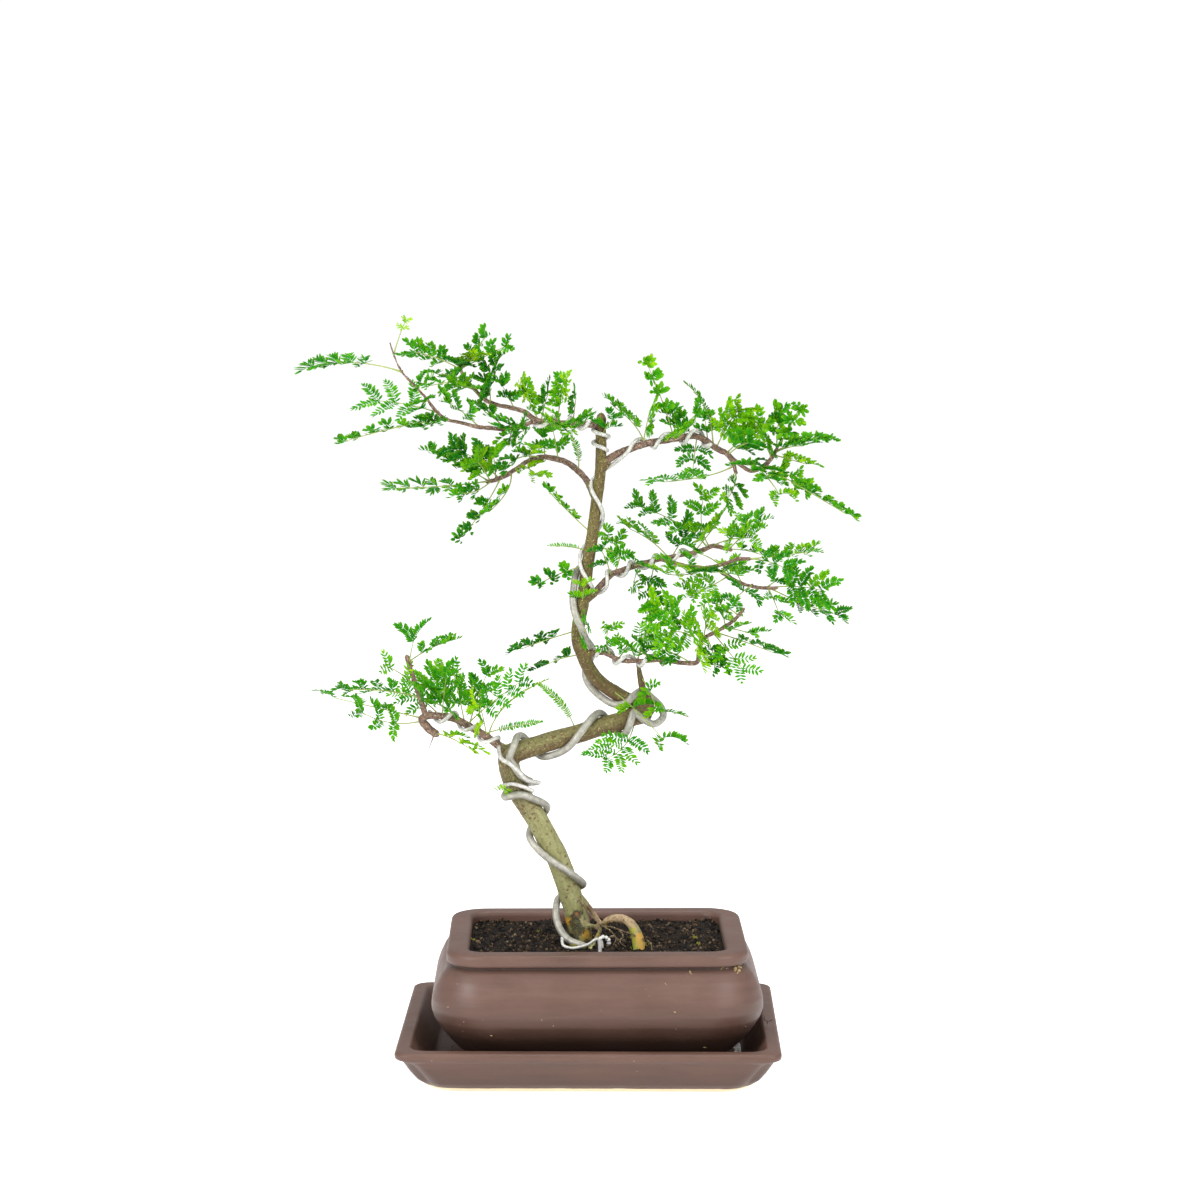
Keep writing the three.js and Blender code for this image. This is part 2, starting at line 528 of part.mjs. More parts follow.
function leafForm(row, index) {
  const [stem, footU, footV, tipU, tipV, reach, fullPairs, length, bowU, bowV] = row;
  const pairs = fullPairs > FULL_PAIRS ? fullPairs - 1 : fullPairs;
  const random = randomFrom(LEAF_SEED + index * 101);
  const foot = stemPoint(stem, footU, footV);
  const tip = seen(tipU, tipV, foot.y + reach);
  const span = foot.distanceTo(tip);
  const bow = bowU === undefined
    ? foot.clone().lerp(tip, 0.5).add(new THREE.Vector3(0, 0, 0.1 * span))
    : seen(bowU, bowV, foot.y + 0.4 * reach);
  const rachis = new THREE.QuadraticBezierCurve3(foot, bow, tip);
  const outward = new THREE.Vector3(tip.x - CROWN_AXIS, tip.y, 0).normalize();
  const middle = rachis.getTangentAt(0.7);
  const face = new THREE.Vector3(0, -0.35, 1).addScaledVector(outward, 0.45).projectOnPlane(middle).normalize();
  face.applyAxisAngle(middle, (random() - 0.5) * FACE_TURN);
  const pinnae = [];
  for (let i = 0; i < pairs; i++) {
    const share = pairs > 1 ? i / (pairs - 1) : 1;
    const at = FIRST_PAIR + (1 - FIRST_PAIR) * share;
    const along = rachis.getTangentAt(at);
    const normal = face.clone().projectOnPlane(along).normalize();
    const side = new THREE.Vector3().crossVectors(along, normal);
    const spread = THREE.MathUtils.degToRad(THREE.MathUtils.lerp(74, 42, share));
    for (const hand of [1, -1]) {
      const way = along.clone().multiplyScalar(Math.cos(spread))
        .addScaledVector(side, hand * Math.sin(spread))
        .addScaledVector(normal, 0.12 + 0.2 * random()).normalize();
      const size = length * (0.8 + 0.2 * Math.sin((Math.PI * (i + 1)) / (pairs + 1))) * (0.9 + 0.2 * random());
      const root = rachis.getPointAt(at);
      const blade = normal.clone().projectOnPlane(way).normalize();
      const end = root.clone().addScaledVector(way, size).addScaledVector(along, 0.08 * size);
      end.z -= 0.06 * size;
      pinnae.push({ at, hand, root, way, blade, size, end });
    }
  }
  return { rachis, face, pinnae };
}

// Stems: what each node holds, and the wood that its leaves stand on
const stems = {
  lower: ['lower', 'lowerTwig'],
  middle: ['middle'],
  right: ['right', 'rightTwig', 'rightTip'],
  upper: ['upper', 'upperTip'],
  left: ['left'],
  top: ['top', 'topTwig'],
};
const trunkWood = ['trunk', 'spur', 'root', 'thinRoot'];

// A leaf as one closed three-sided body: pinnae grow from the sides of the rachis
const STATION = 0.8;
const TOP_SHARE = 0.45;

function ringAt(centre, along, normal, halfWidth, height) {
  const side = new THREE.Vector3().crossVectors(along, normal);
  return [
    centre.clone().addScaledVector(normal, height),
    centre.clone().addScaledVector(side, halfWidth).addScaledVector(normal, -0.8 * height),
    centre.clone().addScaledVector(side, -halfWidth).addScaledVector(normal, -0.8 * height),
  ];
}

function leafSolid(form) {
  const faces = [];
  const face = (...corners) => faces.push(...corners);
  const length = form.rachis.getLength();
  const half = STATION / length;
  const pairSpots = [...new Set(form.pinnae.map(({ at }) => at))];
  const stations = [0];
  pairSpots.forEach((at) => stations.push(Math.min(at, 1 - half) - half, Math.min(at, 1 - half) + half));
  const rings = stations.map((at) => {
    const along = form.rachis.getTangentAt(at);
    const normal = form.face.clone().projectOnPlane(along).normalize();
    return ringAt(form.rachis.getPointAt(at), along, normal, 0.87 * PETIOLE_RADIUS, 0.7 * PETIOLE_RADIUS);
  });
  const loft = (lower, upper, sides = [0, 1, 2]) => {
    for (const k of sides) {
      const n = (k + 1) % 3;
      face(lower[k], lower[n], upper[n], lower[k], upper[n], upper[k]);
    }
  };
  const pinna = (base, { root, way, blade, size, end }) => {
    const centre = root.clone().addScaledVector(way, TOP_SHARE * size).addScaledVector(blade, 0.05 * size);
    const ring = ringAt(centre, way, blade, Math.min(PINNA_HALF_WIDTH, 0.2 * size), PINNA_RIDGE);
    const turned = [0, 1, 2].map((turn) => [0, 1, 2].map((k) => base[(k + turn) % 3]));
    const apart = (candidate) => candidate.reduce((sum, spot, k) => sum + spot.distanceToSquared(ring[k]), 0);
    turned.sort((a, b) => apart(a) - apart(b));
    loft(turned[0], ring);
    face(ring[0], ring[1], end, ring[1], ring[2], end, ring[2], ring[0], end);
  };
  face(rings[0][0], rings[0][2], rings[0][1]);
  for (let i = 1; i < rings.length; i++) {
    const lower = rings[i - 1];
    const upper = rings[i];
    const carries = i % 2 === 0;
    if (!carries) {
      loft(lower, upper);
      continue;
    }
    loft(lower, upper, [1]);
    const pair = form.pinnae.filter(({ at }) => at === pairSpots[i / 2 - 1]);
    face(lower[0], upper[1], upper[0]);
    pinna([lower[0], lower[1], upper[1]], pair.find(({ hand }) => hand === 1));
    face(lower[0], upper[0], upper[2]);
    pinna([lower[2], lower[0], upper[2]], pair.find(({ hand }) => hand === -1));
  }
  const last = rings.at(-1);
  const point = form.rachis.getPointAt(1).addScaledVector(form.rachis.getTangentAt(1), 1.5);
  face(last[0], last[1], point, last[1], last[2], point, last[2], last[0], point);
  const geometry = new THREE.BufferGeometry().setFromPoints(faces);
  return solidOf(geometry);
}

// Wires: a coil is a list of [across, down, turn] marks along its wood; a whole turn passes in front
const COIL_STEPS = 7;

function fractionOn(curve, u, v) {
  const samples = 200;
  let best = 0;
  let least = Infinity;
  for (let i = 0; i <= samples; i++) {
    const spot = curve.getPointAt(i / samples).sub(EYE);
    const depth = spot.dot(EYE_FORWARD);
    const across = SHEET_MIDDLE + (EYE_REACH * spot.dot(EYE_RIGHT)) / depth;
    const down = SHEET_MIDDLE - (EYE_REACH * spot.dot(EYE_UP)) / depth;
    const miss = Math.hypot(across - u, down - v);
    if (miss < least) {
      least = miss;
      best = i / samples;
    }
  }
  return best;
}

function coil(name, marks, wire) {
  const rows = wood[name];
  const curve = curveOf(rows);
  const radiusAt = radiusAlong(rows);
  const length = curve.getLength();
  const lap = 2 * Math.PI * (radiusAt(fractionOn(curve, marks[0][0], marks[0][1])) + wire / 2);
  const spots = marks.map(([u, v, turn]) => new THREE.Vector3(fractionOn(curve, u, v) * length, turn * lap, 0));
  const unrolled = new THREE.CatmullRomCurve3(spots);
  const steps = Math.ceil((unrolled.getLength() / lap) * COIL_STEPS);
  const points = [];
  for (let k = 0; k <= steps; k++) {
    const { x, y } = unrolled.getPointAt(k / steps);
    const at = x / length;
    const turn = (y / lap) * 2 * Math.PI;
    const along = curve.getTangentAt(at);
    const front = new THREE.Vector3(0, -1, 0).projectOnPlane(along).normalize();
    const beside = new THREE.Vector3().crossVectors(along, front);
    const radius = (radiusAt(at) + wire / 2 + GAP) / Math.cos(Math.PI / COIL_STEPS) + 0.1;
    points.push(curve.getPointAt(at)
      .addScaledVector(front, radius * Math.cos(turn))
      .addScaledVector(beside, -radius * Math.sin(turn)));
  }
  return points;
}

function wireBar(points, wire, sides, grow = 0) {
  return bar(points, points.map(() => wire / 2 + grow), sides);
}

const wires = {
  trunk_wire: {
    size: TRUNK_WIRE,
    sides: 5,
    points: [
      ...spotList([[594, 961, -16], [592, 950, -17], [581, 945, -18], [569, 940, -15], [560, 929, -9]]),
      ...spotList([[556, 915, -4]]),
      ...coil('trunk', [
        [559, 902, 0.3], [581, 884, 0.75], [556, 862, 1], [532, 839, 1.25], [542, 808, 1.75], [519, 791, 2],
        [502, 799, 2.25], [523, 783, 2.78], [514, 758, 3.02], [521, 741, 3.28], [543, 756, 3.7], [556, 754, 3.78],
        [566, 748, 3.87], [577, 734, 4], [597, 716, 4.25], [622, 737, 4.72], [627, 724, 4.93], [632, 714, 5.08],
      ], TRUNK_WIRE),
      ...spotList([[643, 719, -7], [654, 724, -3], [663, 717, 3], [661, 707, 8], [652, 698, 10], [643, 691, 7]]),
      ...coil('trunk', [
        [637, 692, 5.88], [623, 699, 6.1], [610, 702, 6.2], [598, 699, 6.26], [589, 689, 6.31], [583, 680, 6.38],
        [594, 646, 6.75], [584, 628, 6.95], [575, 600, 7.18], [576, 574, 7.3], [586, 562, 7.55],
      ], TRUNK_WIRE),
    ],
  },
  lower_wire: {
    size: THIN_WIRE,
    sides: 4,
    points: [
      ...spotList([[533, 791, -14], [524, 787, -17], [513, 784, -17], [502, 786, -11], [500, 787, -3]]),
      ...spotList([[508, 786, 6.8], [519, 785, 7.2], [532, 784, 4.8], [539, 783, -3], [537, 782, -12]]),
      ...spotList([[527, 780, -19.8], [518, 771, -22.4], [510, 764, -24], [501, 758, -22]]),
      ...coil('lower', [[497, 745, 0.6], [489, 738, 1], [470, 727, 2], [446, 717, 3], [430, 716, 3.6]], THIN_WIRE),
    ],
  },
  middle_wire: {
    size: THIN_WIRE,
    sides: 4,
    points: coil('middle', [[599, 653, -0.1], [601, 653, 0], [622, 660, 1], [646, 661, 2], [668, 661, 3]], THIN_WIRE),
  },
  right_wire: {
    size: THIN_WIRE,
    sides: 4,
    points: coil('right', [
      [597, 590, -0.4], [606, 580, 0], [626, 569, 1], [650, 562, 2], [676, 556, 3], [696, 551, 3.7],
    ], THIN_WIRE),
  },
  upper_wire: {
    size: THIN_WIRE,
    sides: 4,
    points: [
      ...coil('trunk', [[584, 591, -0.25], [588, 577, 0], [597, 499, 1], [601, 474, 1.5]], THIN_WIRE),
      ...coil('upper', [[610, 459, 1.75], [631, 449, 2], [660, 442, 3], [690, 437, 4], [712, 445, 5]], THIN_WIRE),
    ],
  },
  top_wire: {
    size: THIN_WIRE,
    sides: 4,
    points: [
      ...coil('trunk', [[602, 450, -0.15], [602, 446, 0], [601, 433, 1], [601, 428, 1.35]], THIN_WIRE),
      ...coil('top', [[592, 425, -0.4], [586, 424, 0], [566, 423, 1], [546, 422, 2], [534, 419, 2.4]], THIN_WIRE),
    ],
  },
  anchor_wire: {
    size: ANCHOR_WIRE,
    sides: 4,
    points: spotList([
      [562, 938, -20], [563, 945, -23], [570, 948, -25], [580, 947, -26], [589, 944, -26], [597, 939, -26],
      [601, 941, -26], [602, 957, -26],
    ]),
  },
};

// Assembly
const TRUNK_SIDES = 8;
const STEM_SIDES = 4;

function woodSolid(names, grow = 0) {
  return joined(names.map((name) => branch(name, name === 'trunk' ? TRUNK_SIDES : STEM_SIDES, grow)));
}

function piece(name, solid, look) {
  const mesh = new THREE.Mesh(geometryOf(solid), new THREE.MeshStandardMaterial(look));
  mesh.name = name;
  return mesh;
}

// The room that the trunk and the wires take up is left free in every piece around them
const wireRooms = joined(Object.values(wires).map(({ size, sides, points }) => wireBar(points, size, sides, GAP)));
const rooms = woodSolid(trunkWood, GAP).add(wireRooms);

const planter = new THREE.Group();
planter.position.x = POT_SHIFT;
planter.rotation.z = POT_TURN;
const standing = rooms.translate([-POT_SHIFT, 0, 0]).rotate([0, 0, -THREE.MathUtils.radToDeg(POT_TURN)]);
planter.add(piece('pot', potSolid(), CLAY), piece('soil', soilSolid(standing), EARTH));

const bonsai = new THREE.Group();
bonsai.add(piece('saucer', stack(SAUCER_HALF, saucerProfile), CLAY), planter);
bonsai.add(piece('trunk', woodSolid(trunkWood).subtract(wireRooms), BARK));
for (const [name, { size, sides, points }] of Object.entries(wires)) {
  bonsai.add(piece(name, wireBar(points, size, sides), ALUMINIUM));
}

function leafSolids(names) {
  const forms = leafRows.map((row, index) => names.includes(row[0]) && leafForm(row, index)).filter(Boolean);
  return forms.map(leafSolid);
}

// A piece with the rooms cut out of it, less the crumbs that the cut leaves
function fitted(solid) {
  const bodies = solid.subtract(rooms).decompose();
  return bodies.reduce((largest, body) => (body.volume() > largest.volume() ? body : largest));
}

for (const [name, names] of Object.entries(stems)) {
  const leaves = leafSolids(names);
  bonsai.add(piece(`stem_${name}`, fitted(joined([woodSolid(names), ...leaves])), LEAF));
}
leafSolids(trunkWood).forEach((leaf, i) => bonsai.add(piece(`trunk_leaf_${i + 1}`, fitted(leaf), LEAF)));

export default bonsai;
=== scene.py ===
"""Gum arabic tree bonsai in a brown clay pot on its saucer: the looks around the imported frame."""

from __future__ import annotations

import logging
import math
import sys
from dataclasses import dataclass
from enum import Enum
from typing import Callable, Iterable, Optional, Sequence

import bmesh
import bpy
import numpy as np
from mathutils import Matrix, Vector, noise


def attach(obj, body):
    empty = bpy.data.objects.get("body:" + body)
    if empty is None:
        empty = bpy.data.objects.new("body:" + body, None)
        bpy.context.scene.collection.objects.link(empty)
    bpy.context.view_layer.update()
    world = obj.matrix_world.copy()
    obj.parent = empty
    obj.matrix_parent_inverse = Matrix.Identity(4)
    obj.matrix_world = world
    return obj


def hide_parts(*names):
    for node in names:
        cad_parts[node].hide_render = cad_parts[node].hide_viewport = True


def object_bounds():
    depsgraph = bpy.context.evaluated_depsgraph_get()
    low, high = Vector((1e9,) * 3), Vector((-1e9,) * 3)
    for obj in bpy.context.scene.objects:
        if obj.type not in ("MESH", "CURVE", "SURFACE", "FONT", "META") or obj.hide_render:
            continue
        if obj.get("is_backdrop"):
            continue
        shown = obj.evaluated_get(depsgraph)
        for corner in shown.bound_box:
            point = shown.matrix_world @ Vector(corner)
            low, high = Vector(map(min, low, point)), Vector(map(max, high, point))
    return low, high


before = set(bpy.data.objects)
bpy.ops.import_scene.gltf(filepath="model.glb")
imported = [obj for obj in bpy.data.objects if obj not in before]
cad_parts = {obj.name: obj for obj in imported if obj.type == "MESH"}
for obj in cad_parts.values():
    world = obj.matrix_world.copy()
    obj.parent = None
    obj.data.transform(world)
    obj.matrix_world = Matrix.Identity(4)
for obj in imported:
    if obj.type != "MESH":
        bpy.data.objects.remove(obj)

MM = 0.001
BODY = "root"
log = logging.getLogger("bonsai")

Row = Sequence[float]
Array = np.ndarray
Template = tuple[Array, list[Sequence[int]]]
Piece = bpy.types.Object
Material = bpy.types.Material
Socket = bpy.types.NodeSocket

# Places that the frame's own source also names, in millimetres
GAP = 0.3
POT_SHIFT = 4.0
POT_TURN = math.radians(1.4)
RIM_HALF = (91.2, 70.4)
RIM_TOP = 82.0
RIM_FACE = 7.5
RIM_WIDTH = 12.0
RIM_CORNER = 22.0
INNER_CORNER = 12.0
NECK_INSET = 13.5
POT_WALL = 8.0
POT_FLOOR = 19.0
FOOT_HEIGHT = 3.6
SAUCER_HALF = (115.2, 94.3)
SAUCER_HEIGHT = 27.8
SAUCER_FLOOR = 7.0
SAUCER_RIM_WIDTH = 9.5
SAUCER_CORNER = 9.0
SOIL_TOP = 76.0
TRUNK_WIRE = 4.5
THIN_WIRE = 2.5
ANCHOR_WIRE = 1.9
LEAF_SEED = 7


class Slot(Enum):
    """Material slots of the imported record."""

    CLAY = "clay"
    EARTH = "earth"
    BARK = "bark"
    LEAF = "leaf"
    WIRE = "aluminium_wire"


@dataclass(frozen=True)
class FrontEye:
    """The front view's eye: points are read across and down on a 1200 by 1200 sheet."""

    place: tuple[float, float, float] = (29.9, -2003.3, 519.3)
    tilt: float = math.radians(6.59)
    swing: float = math.radians(0.68)
    reach: float = 3300.0
    middle: float = 600.0

    @property
    def right(self) -> Array:
        """Unit vector to the right of the sheet."""
        return np.array([math.cos(self.swing), math.sin(self.swing), 0.0])

    @property
    def forward(self) -> Array:
        """Unit vector into the sheet."""
        level = math.cos(self.tilt)
        return np.array([-math.sin(self.swing) * level, math.cos(self.swing) * level, -math.sin(self.tilt)])

    @property
    def up(self) -> Array:
        """Unit vector up the sheet."""
        return np.cross(self.right, self.forward)

    def seen(self, across: float, down: float, depth: float) -> Array:
        """Gives the place of a sheet point.

        Args:
            across: Sheet pixels from the left.
            down: Sheet pixels from the top.
            depth: Depth of the point, in millimetres.

        Returns:
            The point in millimetres.
        """
        ray = (self.forward + self.right * (across - self.middle) / self.reach
               + self.up * (self.middle - down) / self.reach)
        eye = np.array(self.place)
        return eye + ray * (depth - eye[1]) / ray[1]

    def sheet(self, points: Array) -> Array:
        """Gives the sheet coordinates of points in millimetres, one row each."""
        ray = points - np.array(self.place)
        depth = ray @ self.forward
        return np.stack([self.middle + self.reach * (ray @ self.right) / depth,
                         self.middle - self.reach * (ray @ self.up) / depth], axis=-1)


EYE = FrontEye()


class Draw:
    """A seeded random draw that gives the frame's leaves the same forms as in its source."""

    step = 0x6D2B79F5
    whole = 0xFFFFFFFF

    def __init__(self, seed: int) -> None:
        """Starts the draw at seed."""
        self.state = seed & self.whole

    def next(self) -> float:
        """Gives the next number from 0 to 1."""
        self.state = (self.state + self.step) & self.whole
        t = ((self.state ^ (self.state >> 15)) * (1 | self.state)) & self.whole
        t = ((t + (((t ^ (t >> 7)) * (61 | t)) & self.whole)) & self.whole) ^ t
        return ((t ^ (t >> 14)) & self.whole) / (self.whole + 1)


# Wood: each branch is a list of (across, down, depth, diameter)
WOOD: dict[str, list[Row]] = {
    "trunk": [
        (583, 985, 0, 13), (580, 934, 0, 15), (576, 914, 0, 14.4), (571, 896, -1, 14.1),
        (557, 857, -3, 13.8), (546, 836, -5, 13.6), (535, 816, -6, 13.5), (524, 800, -7, 13.4),
        (515, 784, -8, 13.3), (510, 770, -9, 13.1), (509, 756, -9, 13), (522, 750, -9, 12.6),
        (539, 745, -8, 12), (558, 739, -7, 11.8), (578, 734, -6, 11.7), (596, 728, -4, 11.6),
        (614, 723, -2, 11.6), (630, 718, 0, 11.5), (645, 712, 2, 11), (640, 703, 4, 10), (628, 700, 5, 9.2),
        (614, 692, 5, 8.8), (600, 682, 4, 8.5), (590, 670, 2, 8.4), (583, 655, 1, 8.4), (578, 640, 0, 8.3),
        (579, 622, 0, 8.2), (583, 600, 0, 8.1), (587, 568, 1, 7.8), (592, 538, 2, 7.3), (596, 505, 3, 7),
        (600, 476, 3, 6.8), (601, 450, 2, 6.7), (601, 432, 2, 6.6), (601, 417, 2, 6.2),
    ],
    "spur": [
        (648, 711, 2, 8.5), (648, 700, 0, 5.6), (643, 689, -2, 4.6), (640, 676, -3, 3.6),
        (638, 664, -4, 2.6),
    ],
    "lower": [
        (509, 752, -9, 7), (502, 748, -11, 5.2), (490, 739, -15, 4.8), (474, 729, -19, 4.7),
        (455, 719, -22, 4.5), (442, 716, -24, 4.4), (428, 716, -25, 4.4), (422, 719, -25, 4.8),
        (427, 727, -26, 5.2), (436, 734, -27, 4.8),
    ],
    "lowerTwig": [(426, 717, -25, 3.8), (420, 697, -25, 3.2), (413, 677, -25, 2.9), (407, 657, -25, 3.2)],
    "middle": [
        (585, 657, 1, 5), (593, 653, -2, 3.6), (604, 653, -7, 3.2), (620, 660, -13, 3),
        (640, 661, -18, 2.8), (663, 660, -24, 2.8), (684, 663, -30, 2.8), (697, 662, -34, 2.8),
        (699, 651, -37, 2.5), (703, 639, -39, 2.5), (718, 631, -42, 2.4), (734, 620, -44, 2.2),
        (744, 609, -45, 2),
    ],
    "right": [
        (588, 597, 1, 5.5), (594, 593, 2, 4.2), (603, 583, 5, 3.8), (613, 574, 8, 3.6), (626, 569, 11, 3.5),
        (641, 564, 15, 3.4), (660, 559, 19, 3.2), (676, 556, 22, 3), (691, 553, 25, 2.8),
        (706, 549, 28, 2.8), (713, 546, 30, 3), (731, 550, 33, 2.4),
    ],
    "rightTwig": [
        (660, 559, 19, 2.8), (678, 564, 14, 2.5), (697, 568, 8, 2.4), (712, 567, 3, 2.4),
        (724, 564, -1, 2.3), (738, 559, -5, 2.3), (750, 559, -9, 2),
    ],
    "rightTip": [
        (712, 567, 3, 2.4), (728, 576, 0, 2.3), (743, 584, -4, 2.2), (764, 588, -8, 2.1),
        (777, 588, -11, 1.9),
    ],
    "upper": [
        (601, 468, 3, 5.5), (607, 461, 1, 4.8), (617, 454, -2, 4.5), (630, 449, -5, 4.4),
        (648, 443, -9, 4.3), (666, 440, -12, 4.2), (684, 437, -15, 4.1), (695, 436, -17, 4),
        (705, 440, -19, 3.9), (716, 448, -21, 3.7), (727, 454, -23, 3.2), (733, 463, -24, 2.6),
        (736, 473, -25, 2.2),
    ],
    "upperTip": [
        (727, 454, -23, 3), (738, 463, -27, 2.4), (751, 471, -31, 2.4), (762, 467, -35, 2.6),
        (771, 459, -38, 2.6), (777, 449, -40, 2.2),
    ],
    "left": [
        (595, 494, 3, 5), (591, 487, 5, 4.2), (584, 477, 9, 3.9), (576, 469, 13, 3.9), (566, 462, 17, 3.8),
        (556, 459, 20, 3.6), (544, 457, 23, 3.2), (532, 459, 26, 2.8), (519, 467, 29, 2.8),
        (508, 474, 31, 3), (498, 479, 33, 2.8), (487, 482, 35, 2.4),
    ],
    "top": [
        (601, 424, 2, 4.2), (593, 425, 0, 3.8), (578, 423, -2, 3.5), (562, 423, -4, 3.4),
        (548, 422, -5, 3.4), (536, 420, -6, 3.4), (525, 412, -3, 3), (512, 408, 1, 2.8), (498, 405, 6, 2.7),
        (485, 400, 11, 2.6), (475, 390, 16, 2.3), (466, 380, 20, 2.1), (460, 368, 24, 1.9),
    ],
    "topTwig": [
        (536, 420, -6, 3), (522, 426, -11, 2.8), (505, 429, -17, 2.7), (490, 428, -22, 2.6),
        (478, 427, -26, 2.5), (462, 423, -31, 2.2), (446, 419, -35, 2), (436, 411, -37, 1.8),
        (426, 398, -39, 1.6), (415, 386, -41, 1.4), (402, 372, -43, 1.2), (395, 358, -44, 1.0),
        (390, 343, -45, 0.8),
    ],
    "root": [
        (580, 898, 0, 5), (592, 911, -3, 3.2), (598, 920, -5, 2.8), (602, 925, -6, 3.4),
        (609, 920, -9, 4.8), (617, 918, -12, 5), (626, 920, -15, 5.4), (633, 927, -18, 6.2),
        (637, 936, -21, 7.4), (639, 946, -24, 8), (640, 962, -26, 8),
    ],
    "thinRoot": [(586, 925, -4, 3.2), (600, 929, -9, 2.4), (596, 938, -13, 2.4), (592, 950, -15, 2.4)],
}

STEMS: dict[str, list[str]] = {
    "lower": ["lower", "lowerTwig"],
    "middle": ["middle"],
    "right": ["right", "rightTwig", "rightTip"],
    "upper": ["upper", "upperTip"],
    "left": ["left"],
    "top": ["top", "topTwig"],
}
TRUNK_WOOD = ["trunk", "spur", "root", "thinRoot"]

# Collars where the branches leave the trunk: share of the branch's length, and its growth there
COLLARS: dict[str, Row] = {
    "upper": (0.06, 1.3), "left": (0.08, 1.3), "right": (0.06, 1.25), "middle": (0.05, 1.2),
    "lower": (0.1, 1.15), "top": (0.03, 1.1),
}

# Marks on the bark: (across, down, reach, strength)
MARKS: dict[str, list[Row]] = {
    "mossed": [
        (570, 922, 8, 0.8), (585, 936, 9, 0.8), (588, 952, 12, 0.8), (606, 926, 6, 0.7), (597, 936, 8, 0.8),
        (629, 932, 7, 0.5),
    ],
    "yellowed": [
        (568, 921, 4.5, 0.9), (586, 934, 5, 0.9), (576, 933, 4, 0.7), (639, 939, 8, 0.95),
        (641, 948, 7, 0.9), (634, 930, 4, 0.6),
    ],
    "greened": [
        (632, 941, 5, 0.95), (635, 947, 4, 0.9), (632, 931, 4, 0.9), (592, 951, 6, 1.0), (642, 952, 3, 0.7),
        (566, 945, 6, 0.9), (604, 930, 4, 0.7),
    ],
    "damped": [
        (575, 923, 6, 1.25), (578, 930, 7, 1.25), (574, 938, 7, 1.1), (586, 941, 3, 0.8), (602, 926, 4, 0.8),
        (618, 926, 4, 0.9), (626, 929, 3.5, 0.8), (611, 925, 3, 0.9), (634, 936, 2.5, 0.7),
        (643, 940, 3, 0.7), (637, 950, 2.5, 0.7),
    ],
    "ringed": [(577, 915, 5, 1.2), (572, 916, 3, 0.8), (581, 913, 3, 0.8)],
    "scarred": [(577, 914, 2.2, 0.9)],
    "browned": [
        (510, 760, 20, 0.22), (640, 712, 22, 0.42), (525, 800, 16, 0.25), (600, 560, 10, 0.5),
        (612, 690, 14, 0.4), (601, 424, 8, 0.8), (645, 690, 16, 0.7), (560, 735, 20, 0.12),
        (600, 718, 16, 0.12),
    ],
    "browned_root": [(593, 908, 12, 0.9), (600, 922, 8, 0.9)],
    "paled_root": [(606, 921, 14, 1.0), (620, 918, 14, 1.0), (630, 924, 8, 0.8)],
    "paled_foot": [(586, 924, 5, 0.5), (587, 932, 4, 0.5)],
}

